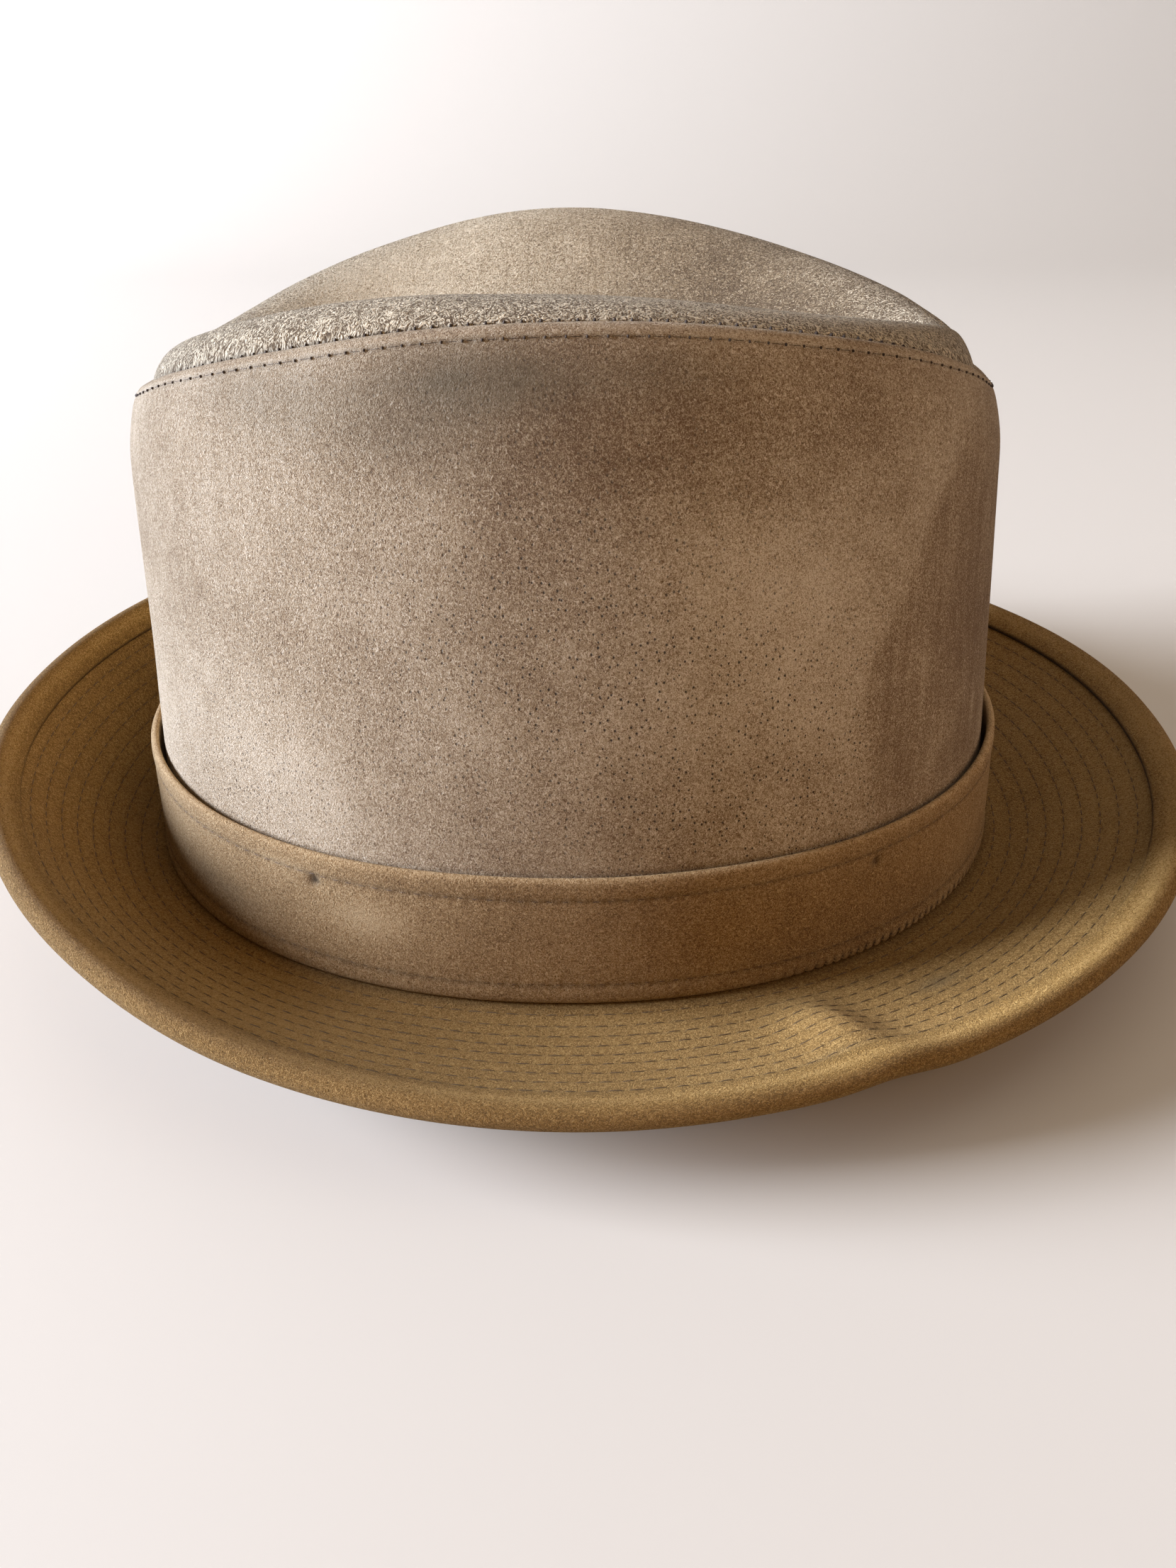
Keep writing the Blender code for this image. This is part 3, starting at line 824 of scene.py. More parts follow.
def build_crown_tip(material):
    """Tip: underside from its middle out, down and up the sewn flange, then back over the top"""
    angles = steps_round(TIP_STEPS)
    seam = seam_height(angles)
    inset = FOLD_THICKNESS + CLEARANCE
    inner_share = np.linspace(POLE_SHARE, 1, TIP_UNDER)[:, None] * np.ones_like(angles)
    crowded = np.linspace(1, 0, TIP_RIDGE)[:, None] ** RIDGE_CROWDING
    ridge_share = 1 - (1 - RIDGE_PLACE_SIDE) * crowded
    middle_share = np.linspace(POLE_SHARE, RIDGE_PLACE_SIDE, TIP_MIDDLE)[:-1, None]
    top_share = np.concatenate((middle_share, ridge_share)) * np.ones_like(angles)
    under = tip_surface(angles, inner_share, TIP_WALL, tip_slope_drop(angles, inner_share))
    down = np.linspace(0, 1, TIP_FLANGE)[1:, None]
    low = seam - TIP_DROP - TIP_WALL - down * (FLANGE_DEPTH - TIP_DROP - TIP_WALL)
    high = seam - FLANGE_DEPTH + (1 - down[::-1]) * (FLANGE_DEPTH - TIP_DROP)
    flange_in = crown_surface(angles, low, inset + TIP_WALL)
    flange_out = crown_surface(angles, high, inset)
    top = tip_surface(angles, top_share, 0.0, 0.0)[::-1]
    grid = np.concatenate((under, flange_in, flange_out, top))
    rows, columns = grid.shape[:2]
    under_pole = np.append(AXIS[:2], grid[0, :, 2].mean())
    top_pole = np.append(AXIS[:2], grid[-1, :, 2].mean())
    points = np.concatenate(((grid + AXIS).reshape(-1, 3), under_pole[None], top_pole[None]))
    quads = quads_of(rows, columns, False)
    column = np.arange(columns)
    after = (column + 1) % columns
    last = (rows - 1) * columns
    under_fan = np.stack((after, column, np.full(columns, rows * columns)), axis=-1)
    top_fan = np.stack((last + column, last + after, np.full(columns, rows * columns + 1)), axis=-1)
    face_sets = (quads, under_fan, top_fan)
    sheet = np.concatenate([points[faces.ravel(), :2] for faces in face_sets])
    inward = np.zeros((rows, columns))
    inward[-len(top):] = np.linspace(0, 1, len(top))[:, None]
    marks = tip_marks(points, np.append(inward.ravel(), (0.0, 1.0)))
    piece = new_piece("crown_tip_suede", points, face_sets, material, sheet, marks)
    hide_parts("crown_tip")


def tip_marks(points, inward):
    """The tip's marks, by how far in from its edge each point of the top lies as a share of its rows.

    A steep bell holds the coarse pale nap to the near ridge's outer slope. The clouds and flecks lie
    beyond it, and the tone falls towards the front, where the tip slopes away from the window.
    """
    beyond_ridge = 1.0 - np.exp(-((inward / 0.45) ** 4))
    forward = (points[:, 0] - AXIS[0]) / HALF_LENGTH
    across = (points[:, 1] - AXIS[1]) / HALF_WIDTH
    ridge = np.exp(-((inward / (0.54 - 0.18 * across)) ** 8))
    far_slope = 0.28 - 0.85 * forward - 0.55 * np.clip(forward / 0.35, 0, 1)
    front_slope = np.clip((forward - 0.25) / 0.4, 0, 1) * np.clip((across + 0.55) / 0.4, 0, 1)
    near_tone = (0.40 - 0.9 * front_slope) * ridge * (inward > 0)
    return {
        "tone": near_tone + far_slope * beyond_ridge * (1 - ridge),
        # Painted shade along the tip's edge beside the fold
        "painted_shade": 0.7 * bell(inward, 0.05),
        "fuzz": 0.10 + 0.80 * ridge,
        "flecks": beyond_ridge,
        "streaks": np.full_like(inward, 0.2),
    }


def band_reach(angles, height):
    """How far the band's inner face lies from the foot oval: a taper, and a gap at the two ends"""
    ends = np.cos(np.radians(angles)) ** 8
    gap = BAND_END_GAP * ends * np.clip(height / BAND_HEIGHT, 0, 1) ** 2
    return CLEARANCE - BAND_TAPER * height + gap


def band_relief(angles, height):
    """How far the band's outer face stands out: plump hems beside the two sewn rows, and the pits"""
    arc = arc_round(angles)
    pitch = even_pitch(arc[-1], BAND_PITCH)
    from_edge = np.minimum(height, BAND_HEIGHT - height)
    hem = BAND_HEM * np.sin(math.pi * np.clip(from_edge / BAND_ROW_INSET, 0, 1))
    row = BAND_PULL * bell(from_edge - BAND_ROW_INSET) * pulled(arc[:-1], pitch)
    pits = PIT_DEPTH * blot(BAND_PITS, angles, height)
    return hem - row - pits + waves(angles, height, BAND_WAVES)


def band_nicks(angles):
    """Where the band's lower edge is nicked, and its teeth: a cubed sine with a wandering pitch"""
    arc = arc_round(angles)[:-1]
    nicked = soft_step((angles - NICKS_FROM) / NICKS_FADE) * soft_step((NICKS_TO - angles) / NICKS_FADE)
    wander = sum(share * np.sin(arc / (span * MM) + phase) for span, phase, share in NICK_WANDER)
    return nicked, (0.5 + 0.5 * np.sin(2 * math.pi * arc / NICK_PITCH + wander)) ** 3


def build_hatband(material):
    """Band: up its outer face, over its folded top edge, down inside and round its lower edge"""
    angles = steps_round(BAND_STEPS)
    half = BAND_WALL / 2
    flat = np.linspace(half, BAND_HEIGHT - half, BAND_FACE)[:, None]
    inside = flat[::-BAND_INSIDE_STEP]
    turn = np.linspace(0, math.pi, BAND_ROLL)[1:-1, None]
    round_up = half * np.sin(turn)
    height = np.concatenate((flat, BAND_HEIGHT - half + round_up, inside, half - round_up))
    height = height * np.ones_like(angles)
    out = np.concatenate((
        np.full_like(flat, BAND_WALL),
        half + half * np.cos(turn),
        np.zeros_like(inside),
        half - half * np.cos(turn),
    )) * np.ones_like(angles)
    out[:BAND_FACE] += band_relief(angles, height[:BAND_FACE])
    outer_face = np.zeros_like(height)
    outer_face[:BAND_FACE] = 1
    nicked, tooth = band_nicks(angles)
    lower = np.clip(1 - height / NICK_REACH, 0, 1)
    wavy = waves(angles, height * 0, BAND_EDGE_WAVES) * np.clip(height / BAND_HEIGHT, 0, 1) ** 2
    lift = lower * nicked * tooth * NICK_DEPTH + wavy
    x, y = foot_oval(angles, band_reach(angles, height) + out)
    grid = np.stack((x, y, FOOT + height + lift), axis=-1) + AXIS
    from_edge = np.minimum(height, BAND_HEIGHT - height)
    bared = 0.7 * nicked * (1 - tooth) * bell(height, NICK_MARK)
    shaded = 1.6 * nicked * tooth * bell(height, NICK_MARK)
    rows = 0.4 * bell(from_edge - BAND_ROW_INSET, BAND_ROW_SHADE)
    marks = {
        # Tone: edges rubbed pale, partly wear and partly a painted highlight on the rolled crests
        "tone": blot(BAND_TONES, angles, height) + 0.35 * bell(from_edge, BAND_RUB_AND_HIGHLIGHT) + outer_face * bared,
        # Painted shadow low on the band's back, in the grey of dirt; real dirt on the crown and brim
        "dirt_and_shade": outer_face * blot(BAND_PAINTED_SHADOW, angles, height),
        # Painted shade along the sewn rows, in the tack pits and in the nicks
        "painted_shade": outer_face * (rows + blot(BAND_PITS, angles, height) + shaded),
        "fuzz": outer_face * 0.07,
    }
    profile = running(np.hypot(np.diff(height[:, 0]), np.diff(out[:, 0])))
    sheet = wrap_sheet(arc_round(angles), np.append(profile, profile[-1] + half))
    piece = wall_piece("hatband_suede", grid, material, sheet, marks)
    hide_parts("hatband")


def flat_brim(angles, distance):
    """Places on the brim's flat cut sheet: the foot oval plus the distance along its normal"""
    normal_x, normal_y = outward(angles)
    x, y = foot_oval(angles)
    return np.stack((x + normal_x * distance, y + normal_y * distance), axis=-1)


def build_brim(material):
    """Brim: out along its underside from the head opening, then back over its sewn top"""
    angles = steps_round(BRIM_STEPS)
    end = BRIM_WIDTH - BINDING_WALL - CLEARANCE
    top = np.linspace(-CROWN_WALL, end, BRIM_TOP)
    under = np.linspace(-CROWN_WALL, end, BRIM_UNDER)
    half = BRIM_WALL / 2
    over = brim_surface(angles, top, half + brim_relief(angles, top))
    below = brim_surface(angles, under, np.full((len(under), len(angles)), -half))
    grid = np.concatenate((below, over[::-1]))
    distance = np.concatenate((under, top[::-1]))[:, None] * np.ones_like(angles)
    seen = np.zeros_like(distance)
    seen[BRIM_UNDER:] = 1
    sewn = sum(bell(distance - row, BRIM_ROW_SHADE) for row in brim_rows())
    by_band = bell(np.clip(distance - CLEARANCE - BAND_WALL, 0, 1), BRIM_BAND_SHADE)
    marks = {
        # Tone: painted light and shade from its table
        "tone": 0.1 + seen * blot(BRIM_PAINTED_LIGHT_AND_SHADE, angles, distance, BRIM_WIDTH / 2),
        "fuzz": seen * 0.08,
        "dirt_and_shade": seen * blot(BRIM_SMUDGES, angles, distance, BRIM_WIDTH / 2),
        # Painted shade along the sewn rows and beside the band
        "painted_shade": seen * (0.20 * sewn + 0.4 * by_band),
    }
    sheet = np.pad(flat_brim(angles, distance), ((0, 1), (0, 1), (0, 0)), mode="wrap")
    piece = wall_piece("brim_suede", grid + AXIS, material, sheet, marks)
    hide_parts("brim")


def build_binding(material):
    """Binding: out along its lower leaf, round its nose, back over its upper leaf, and inside"""
    angles = steps_round(BRIM_STEPS)
    inner = BRIM_WALL / 2 + CLEARANCE
    start = BRIM_WIDTH - BINDING_WIDTH
    nose = BRIM_WIDTH - BINDING_NOSE
    edge = np.linspace(0, math.pi / 2, BINDING_LIP)[:, None]
    lip_along = start + BINDING_WALL * (1 - np.cos(edge))
    lip_proud = np.sin(edge)
    leaf_along = np.linspace(start + BINDING_WALL, nose, BINDING_LEAF)[1:-1, None]
    nose_turn = np.linspace(0, math.pi / 2, BINDING_NOSE_TURN)[:, None]
    power = 2 / BINDING_NOSE_POWER
    nose_along = nose + BINDING_NOSE * np.sin(nose_turn) ** power
    nose_share = np.cos(nose_turn) ** power
    nose_share[-1] = 0.0
    along = np.concatenate((lip_along, leaf_along, nose_along))
    thick = np.concatenate((lip_proud, np.ones_like(leaf_along), np.ones_like(nose_along)))
    share = np.concatenate((np.ones_like(lip_along), np.ones_like(leaf_along), nose_share))
    arc = rim_arc(angles, LAP_PLACE) - LAP_SKEW * (along - start)
    lap = LAP_WALL * bell(np.clip(arc, 0, None), LAP_LENGTH) * soft_step(arc / LAP_EDGE)
    plump = BINDING_PLUMP * np.sin(math.pi * np.clip((along - start) / (nose - start), 0, 1))
    leaf = (inner + BINDING_WALL * thick + lap * thick) * share + plump
    turn_in = BRIM_WIDTH - BINDING_WALL
    inside = np.array((start, turn_in, turn_in, start))
    inside_proud = np.array((-inner, -inner, inner, inner))[:, None] * np.ones_like(angles)
    over = brim_surface(angles, along[:, 0], leaf)
    under = brim_surface(angles, along[:, 0], -leaf)
    lips = brim_surface(angles, inside, inside_proud)
    grid = np.concatenate((under, over[:-1][::-1], lips[::-1]))
    profile_along = np.concatenate((along, along[:-1][::-1], inside[::-1, None]))
    upper = np.zeros(grid.shape[:2])
    upper[len(along):len(along) * 2 - 1] = 1
    to_rim = (profile_along - start) / BINDING_WIDTH
    # Rubbed pale, partly wear and partly a painted highlight along the roll
    rubbed = 0.55 * bell(to_rim - RUB_AND_HIGHLIGHT_PLACE, RUB_AND_HIGHLIGHT_HALF_WIDTH)
    marks = {
        # Tone: the brim's painted light and shade carried on over the binding
        "tone": rubbed - 0.1 + blot(BRIM_PAINTED_LIGHT_AND_SHADE, angles, profile_along, BRIM_WIDTH / 2),
        # Painted shade along the binding's inner lip
        "painted_shade": upper * bell(to_rim, LIP_SHADE),
        "fuzz": np.full_like(upper, 0.10),
    }
    sheet = wrap_sheet(arc_round(angles, BRIM_WIDTH), np.arange(len(grid) + 1) * BINDING_SHEET_STEP)
    piece = wall_piece("brim_binding_suede", grid + AXIS, material, sheet, marks)
    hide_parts("brim_binding")


def stitch_row(path, lift, pitch, length_share, radius, seed, phase=0.5):
    """Short capsules of thread along a closed path.

    Each follows the path for its share of the pitch, stands up in its middle and sinks in at its
    two ends. Its section is a small circle in the plane of the surface's normal and the path's side.
    """
    closed = np.concatenate((path, path[:1]))
    arc = running(np.linalg.norm(np.diff(closed, axis=0), axis=1))
    whole = arc[-1]
    count = round(whole / pitch)
    stray = np.random.default_rng(seed)
    middle = (np.arange(count) + phase + stray.uniform(-STRAY_PLACE, STRAY_PLACE, count)) * whole / count
    half = whole / count * length_share / 2 * stray.uniform(*STRAY_LENGTH, count)
    along = np.linspace(-1, 1, THREAD_STEPS)
    place = middle[:, None] + along * half[:, None]
    normal = np.concatenate((lift, lift[:1]))
    spot = np.stack([np.interp(place, arc, closed[:, axis], period=whole) for axis in range(3)], axis=-1)
    up = np.stack([np.interp(place, arc, normal[:, axis], period=whole) for axis in range(3)], axis=-1)
    heading = np.gradient(spot, axis=1)
    heading /= np.linalg.norm(heading, axis=-1, keepdims=True)
    up /= np.linalg.norm(up, axis=-1, keepdims=True)
    side = np.cross(heading, up)
    girth = radius * np.sqrt(1 - THREAD_TAPER * along ** 2)
    rise = radius * (THREAD_RISE - THREAD_SINK * np.abs(along) ** 3)
    turn = np.arange(THREAD_SIDES) * 2 * math.pi / THREAD_SIDES
    ring = up[:, :, None] * (rise[:, None] + girth[:, None] * np.cos(turn))[None, :, :, None]
    ring = ring + side[:, :, None] * (girth[:, None] * np.sin(turn))[None, :, :, None]
    points = (spot[:, :, None] + ring).reshape(-1, 3)
    per_stitch = THREAD_STEPS * THREAD_SIDES
    step = np.arange(THREAD_STEPS - 1)[:, None] * THREAD_SIDES
    beyond = step + THREAD_SIDES
    here = np.arange(THREAD_SIDES)
    after = (here + 1) % THREAD_SIDES
    one = np.stack((step + here, beyond + here, beyond + after, step + after), axis=-1).reshape(-1, 4)
    caps = np.stack((here, here[::-1] + per_stitch - THREAD_SIDES))
    first = (np.arange(count) * per_stitch)[:, None, None]
    return points, (first + one).reshape(-1, 4), (first + caps).reshape(-1, THREAD_SIDES)


def sewn_piece(name, rows, material):
    """One piece from several rows of stitches: their points and faces one after another"""
    points, quads, caps = zip(*rows)
    starts = running([len(row) for row in points]).astype(int)
    faces = [np.concatenate([row + start for row, start in zip(kind, starts)]) for kind in (quads, caps)]
    new_piece(name, np.concatenate(points), faces, material)


def crown_outward(angles):
    """Normals of the crown's side, level and outward"""
    normal_x, normal_y = outward(angles)
    return np.stack((normal_x, normal_y, np.full_like(normal_x, CROWN_TAPER)), axis=-1)


def build_seam_stitches(material):
    """The needle row below the fold, and the dark needle holes between the fold and the tip"""
    angles = steps_round(CROWN_STEPS)
    seam = seam_height(angles)
    height = (seam - SEAM_ROW_DROP)[None, :]
    row = crown_surface(angles, height, -crown_relief(angles, height))[0] + AXIS
    edge = crown_surface(angles, seam[None, :] - FOLD_HOLE_DROP, FOLD_THICKNESS + CLEARANCE / 2)[0] + AXIS
    upright = crown_outward(angles) * FOLD_HOLE_LEAN + np.array((0, 0, 1.0))
    rows = (
        stitch_row(row, crown_outward(angles), SEAM_PITCH, *SEAM_STITCH, 1),
        stitch_row(row, crown_outward(angles), SEAM_PITCH, *SEAM_HOLE, 3, 0.0),
        stitch_row(edge, upright, FOLD_DOT_PITCH, *FOLD_HOLE, 2),
    )
    sewn_piece("seam_stitches", rows, material)


def build_band_stitches(material):
    """The two needle rows of the band, one beside each folded edge"""
    angles = steps_round(BAND_STEPS)
    rows = []
    for seed, place in enumerate((BAND_ROW_INSET, BAND_HEIGHT - BAND_ROW_INSET)):
        height = np.full((1, len(angles)), place)
        reach = band_reach(angles, height) + BAND_WALL + band_relief(angles, height)
        wavy = waves(angles, height * 0, BAND_EDGE_WAVES) * (height / BAND_HEIGHT) ** 2
        x, y = foot_oval(angles, reach)
        path = np.stack((x, y, FOOT + height + wavy), axis=-1)[0] + AXIS
        rows.append(stitch_row(path, crown_outward(angles), BAND_PITCH, *BAND_STITCH, 10 + seed))
    sewn_piece("band_stitches", rows, material)


def build_brim_stitches(material):
    """The rings of quilting stitches on the brim's top"""
    angles = steps_round(BRIM_STEPS)
    rows = []
    for seed, place in enumerate(brim_rows()):
        distance = np.array([place])
        relief = brim_relief(angles, distance)
        path = brim_surface(angles, distance, BRIM_WALL / 2 + relief)[0] + AXIS
        raised = brim_surface(angles, distance, BRIM_WALL / 2 + relief + 1 * MM)[0] + AXIS
        rows.append(stitch_row(path, raised - path, BRIM_PITCH, *BRIM_STITCH, 20 + seed))
    sewn_piece("brim_stitches", rows, material)


def linear(hex_color):
    """Linear colour of an sRGB hex value such as #8a7560"""
    value = int(hex_color.lstrip("#"), 16)
    parts = np.array(((value >> 16) & 255, (value >> 8) & 255, value & 255)) / 255
    parts = np.where(parts <= 0.04045, parts / 12.92, ((parts + 0.055) / 1.055) ** 2.4)
    return (*parts, 1.0)


def add(tree, kind, inputs=(), out=0, **settings):
    """One node with its settings and its inputs, in order or by name, each linked or set. Gives its output"""
    node = tree.nodes.new("ShaderNode" + kind)
    for name, value in settings.items():
        setattr(node, name, value)
    for place, value in inputs.items() if isinstance(inputs, dict) else enumerate(inputs):
        if isinstance(value, bpy.types.NodeSocket):
            tree.links.new(value, node.inputs[place])
        else:
            node.inputs[place].default_value = value
    return node.outputs[out]


def new_material(name):
    """Material with its node tree and its shader"""
    material = bpy.data.materials.new(name)
    material.use_nodes = True
    return material, material.node_tree, material.node_tree.nodes["Principled BSDF"]


def suede(name):
    """Pigskin suede: hide buffed on its flesh side until it has a raised nap.

    To the eye it is quite dull, with cloudy light and dark where the nap lies one way or the other,
    a fine curly grain, pores in threes, and a soft bloom where its fibres are seen edge on. The deep,
    middle and pale colours are its hollows, its body and its rubbed fibre tips.
    """
    deep, middle, pale, nap_mm, relief_mm, pore_mm, clouded = SUEDES[name]
    clouds = tuple((*row[:4], row[4] * clouded, row[5]) for row in CLOUDS)
    grains = tuple((row[0] * nap_mm, *row[1:5], row[5] * relief_mm) for row in GRAIN)
    material, tree, shader = new_material(name)
    marks = {mark: add(tree, "Attribute", attribute_name=mark, out="Fac") for mark in MARKS}
    hide = add(tree, "UVMap", uv_map="hide")
    hide = add(tree, "VectorMath", {0: hide, "Scale": 1 / MM}, operation="SCALE")
    tone = add(tree, "Math", (marks["tone"], 0.5, 0.5), operation="MULTIPLY_ADD")
    relief = 0.0
    levels = []
    for size, detail, rough, twist, shade, depth in clouds + grains:
        noise = {"Vector": hide, "Scale": 1 / size, "Detail": detail, "Roughness": rough, "Distortion": twist}
        level = add(tree, "Math", (add(tree, "TexNoise", noise), 0.5), operation="SUBTRACT")
        tone = add(tree, "Math", (level, shade, tone), operation="MULTIPLY_ADD")
        relief = add(tree, "Math", (level, depth, relief), operation="MULTIPLY_ADD")
        levels.append(level)
    cloud = levels[len(CLOUDS) - 1]
    patches = add(tree, "Math", (cloud, DIRT_AND_SHADOW_PATCHES, DIRT_AND_SHADOW_STRENGTH), operation="MULTIPLY_ADD")
    for mark, size, detail, rough, twist, stretch, low, high, mean, shade, depth in TUFTS:
        lie = add(tree, "VectorMath", (hide, (1 / size, 1 / (size * stretch), 1)), operation="MULTIPLY")
        noise = {"Vector": lie, "Scale": 1.0, "Detail": detail, "Roughness": rough, "Distortion": twist}
        tufts = add(tree, "TexNoise", noise)
        tufts = add(tree, "MapRange", (tufts, low, high, -mean, 1 - mean), interpolation_type="SMOOTHSTEP")
        tufts = add(tree, "Math", (tufts, marks[mark]), operation="MULTIPLY")
        tone = add(tree, "Math", (tufts, shade, tone), operation="MULTIPLY_ADD")
        relief = add(tree, "Math", (tufts, depth, relief), operation="MULTIPLY_ADD")
    # The painted shadow near the front lowers the tone
    tone = add(tree, "Math", (marks["painted_shadow"], PAINTED_SHADOW_TONE, tone), operation="MULTIPLY_ADD")
    color = add(tree, "ValToRGB", (tone,))
    ramp = color.node.color_ramp
    for stop, place, shade in zip(ramp.elements, TONE_RANGE, (deep, pale)):
        stop.position = place
        stop.color = linear(shade)
    ramp.elements.new(0.5).color = linear(middle)
    # Grey of dirt, and of painted shadow where a piece asks for it
    dirt_and_shade = add(tree, "Math", (marks["dirt_and_shade"], patches), operation="MULTIPLY", use_clamp=True)
    color = add(tree, "Mix", {FACTOR: dirt_and_shade, FROM: color, TO: linear(DIRT_AND_SHADOW_GREY)}, MIXED, data_type="RGBA")
    # Painted shade in creases, grooves and pores: the colour is multiplied towards a dark brown
    holes = add(tree, "Math", (pores(tree, hide, marks["pores"]), marks["pores"]), operation="MULTIPLY")
    dark = add(tree, "Math", (marks["painted_shade"], holes), operation="MAXIMUM", use_clamp=True)
    shaded = {FACTOR: dark, FROM: color, TO: linear(HOLLOW_SHADE_BROWN)}
    color = add(tree, "Mix", shaded, MIXED, data_type="RGBA", blend_type="MULTIPLY")
    relief = add(tree, "Math", (holes, -pore_mm, relief), operation="MULTIPLY_ADD")
    normal = add(tree, "Bump", {"Strength": 1.0, "Distance": MM, "Height": relief})
    rough = add(tree, "MapRange", (tone, *NAP_ROUGHNESS))
    for socket, value in (("Base Color", color), ("Normal", normal), ("Roughness", rough)):
        tree.links.new(value, shader.inputs[socket])
    for socket, value in SUEDE_SHADER:
        shader.inputs[socket].default_value = value
    shader.inputs["Sheen Tint"].default_value = linear(pale)
    return material


def pores(tree, hide, amount):
    """Pigskin's bristle holes: round spots in threes about the points of a jittered lattice.

    The lattice point's own chance turns its three spots, and leaves out those above the amount. The
    distance to the nearest spot against the hole's radius gives 1 in a hole and 0 outside it.
    """
    cells = {"Vector": hide, "Scale": 1 / PORE_SPACING_MM, "Randomness": PORE_JITTER}
    lattice = add(tree, "TexVoronoi", cells, "Position", voronoi_dimensions="2D")
    local = add(tree, "VectorMath", (hide, lattice), operation="SUBTRACT")
    chance = add(tree, "SeparateColor", (lattice.node.outputs["Color"],)).node.outputs
    turn = add(tree, "Math", (chance[0], 2 * math.pi), operation="MULTIPLY")
    spun = add(tree, "VectorRotate", {"Vector": local, "Angle": turn}, rotation_type="Z_AXIS")
    nearest = 1.0
    for angle, stretch in PORE_TRIAD:
        turned = math.radians(angle)
        spot = PORE_APART_MM * stretch * np.array((math.cos(turned), math.sin(turned), 0))
        away = add(tree, "VectorMath", (spun, spot), "Value", operation="DISTANCE")
        nearest = add(tree, "Math", (away, nearest), operation="MINIMUM")
    size = add(tree, "MapRange", (chance[2], 0.0, 1.0, *PORE_SIZES))
    away = add(tree, "Math", (nearest, size), operation="DIVIDE")
    hole = add(tree, "MapRange", (away, *PORE_EDGE, 1.0, 0.0), interpolation_type="SMOOTHSTEP")
    spare = add(tree, "Math", (amount, chance[1]), operation="SUBTRACT")
    kept = add(tree, "Math", (spare, PORE_SPARE), operation="GREATER_THAN")
    return add(tree, "Math", (hole, kept), operation="MULTIPLY")


def thread(name):
    """Spun polyester sewing thread: fine twisted fibres, dull, darker than the hide it lies in"""
    twist, worn = THREADS[name]
    material, tree, shader = new_material(name)
    place = add(tree, "TexCoord", out="Object")
    strands = add(tree, "TexNoise", {"Vector": place, "Scale": 1 / (STRAND_MM * MM), "Detail": 1.0})
    ends = {FACTOR: strands, FROM: linear(twist), TO: linear(worn)}
    tree.links.new(add(tree, "Mix", ends, MIXED, data_type="RGBA"), shader.inputs["Base Color"])
    normal = add(tree, "Bump", {"Strength": THREAD_BUMP, "Distance": STRAND_RELIEF, "Height": strands})
    tree.links.new(normal, shader.inputs["Normal"])
    for socket, value in THREAD_SHADER:
        shader.inputs[socket].default_value = value
    return material


def build_floor():
    """Pale floor that runs level and then sweeps up far behind: a line, a quarter circle and a line"""
    turn = np.linspace(0, math.pi / 2, 25)
    sweep = FLOOR_BACK + FLOOR_SWEEP * np.sin(turn)
    back = np.concatenate(([FLOOR_FRONT], sweep, [FLOOR_BACK + FLOOR_SWEEP]))
    up = np.concatenate(([0.0], FLOOR_SWEEP * (1 - np.cos(turn)), [FLOOR_TOP]))
    y, x = np.meshgrid(back, (-FLOOR_SIDE, FLOOR_SIDE), indexing="ij")
    z = np.repeat(up[:, None], 2, axis=1)
    points = np.stack((x, y, z), axis=-1).reshape(-1, 3)
    row = np.arange(len(back) - 1) * 2
    faces = np.stack((row, row + 1, row + 3, row + 2), axis=-1)
    mesh = bpy.data.meshes.new("floor")
    mesh.from_pydata(points.tolist(), [], faces.tolist())
    mesh.shade_smooth()
    material, _, shader = new_material("pale_floor_paint")
    shader.inputs["Base Color"].default_value = linear(FLOOR_COLOR)
    shader.inputs["Roughness"].default_value = 0.8
    mesh.materials.append(material)
    floor = bpy.data.objects.new("floor", mesh)
    bpy.context.scene.collection.objects.link(floor)


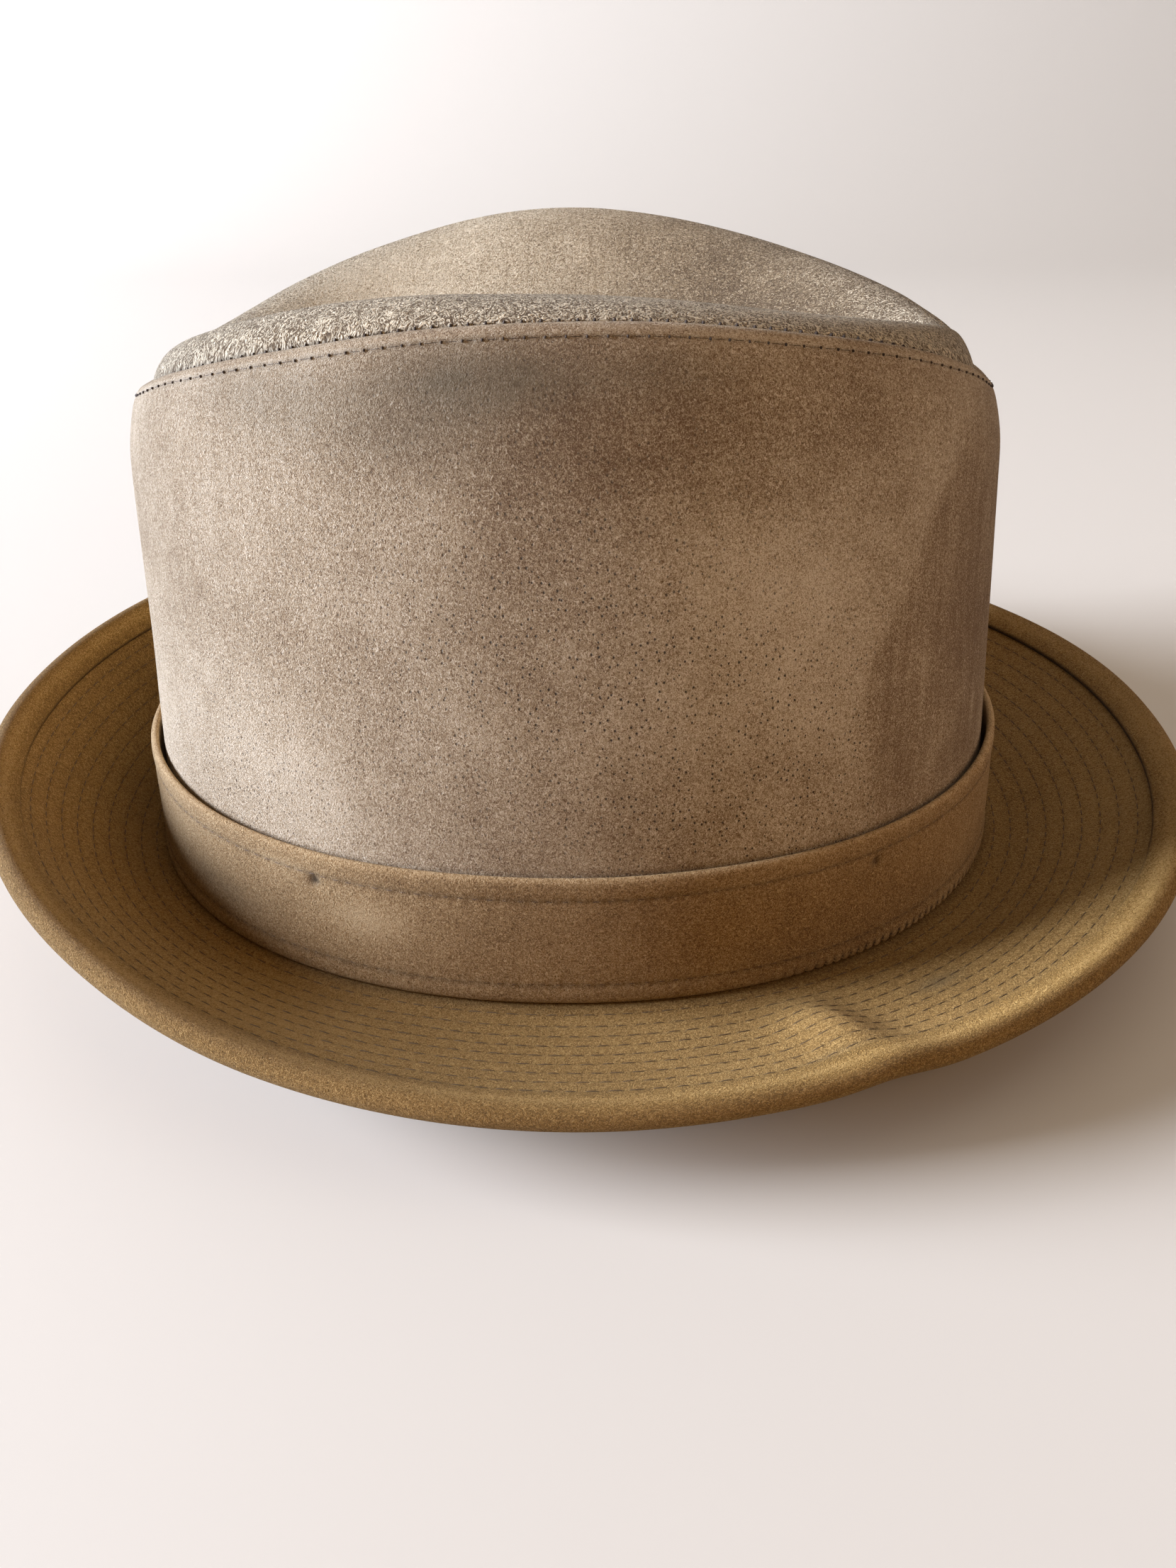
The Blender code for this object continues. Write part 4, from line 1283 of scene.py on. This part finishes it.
def add_camera():
    """Camera at the photo's place: it looks down on the hat's right side, towards its left.

    From a level look along +Y it is turned by its yaw and heading, tipped down by its pitch and
    rolled about its own line of sight.
    """
    turns = (CAMERA_YAW, CAMERA_PITCH, CAMERA_ROLL, CAMERA_HEADING)
    yaw, pitch, roll, heading = map(math.radians, turns)
    turned = Matrix.Rotation(heading, 3, "Z")
    look = (math.sin(yaw) * math.cos(pitch), math.cos(yaw) * math.cos(pitch), -math.sin(pitch))
    ahead = turned @ Vector(look)
    level = turned @ Vector((math.cos(yaw), -math.sin(yaw), 0))
    upright = level.cross(ahead)
    right = math.cos(roll) * level + math.sin(roll) * upright
    upward = -math.sin(roll) * level + math.cos(roll) * upright
    lens = bpy.data.cameras.new("camera")
    lens.sensor_width = SENSOR_MM
    lens.lens = SENSOR_MM * FOCAL_PIXELS / PHOTO_HEIGHT
    lens.clip_start = CLIP_START
    camera = bpy.data.objects.new("camera", lens)
    basis = Matrix((right, upward, -ahead)).transposed()
    camera.matrix_world = Matrix.Translation(CAMERA_PLACE) @ basis.to_4x4()
    bpy.context.scene.collection.objects.link(camera)
    bpy.context.scene.camera = camera


def light_scene():
    """A strong window light from the hat's back, three weak ones round it and a dim warm surround"""
    for name, place, size, power, color in LIGHTS:
        lamp = bpy.data.lights.new(name, "AREA")
        lamp.size = size
        lamp.energy = power
        lamp.color = linear(color)[:3]
        light = bpy.data.objects.new(name, lamp)
        light.location = place
        light.rotation_euler = (LIGHT_AIM - Vector(place)).to_track_quat("-Z", "Y").to_euler()
        bpy.context.scene.collection.objects.link(light)
    world = bpy.data.worlds.new("surround")
    world.use_nodes = True
    background = world.node_tree.nodes["Background"]
    background.inputs["Color"].default_value = linear(SURROUND_COLOR)
    background.inputs["Strength"].default_value = SURROUND_STRENGTH
    bpy.context.scene.world = world
    bpy.context.scene.view_settings.view_transform = "Standard"


def main():
    """The five suede pieces, their stitches, then the floor, the lights and the camera"""
    build_crown_side(suede("pigskin_suede_taupe"))
    build_crown_tip(suede("coarse_suede_taupe"))
    build_hatband(suede("fine_suede_olive_tan"))
    build_brim(suede("stitched_suede_olive_tan"))
    build_binding(suede("rolled_suede_olive_tan"))
    build_seam_stitches(thread("spun_thread_blackish_brown"))
    build_band_stitches(thread("spun_thread_dark_brown"))
    build_brim_stitches(thread("spun_thread_olive_brown"))
    build_floor()
    light_scene()
    add_camera()


main()
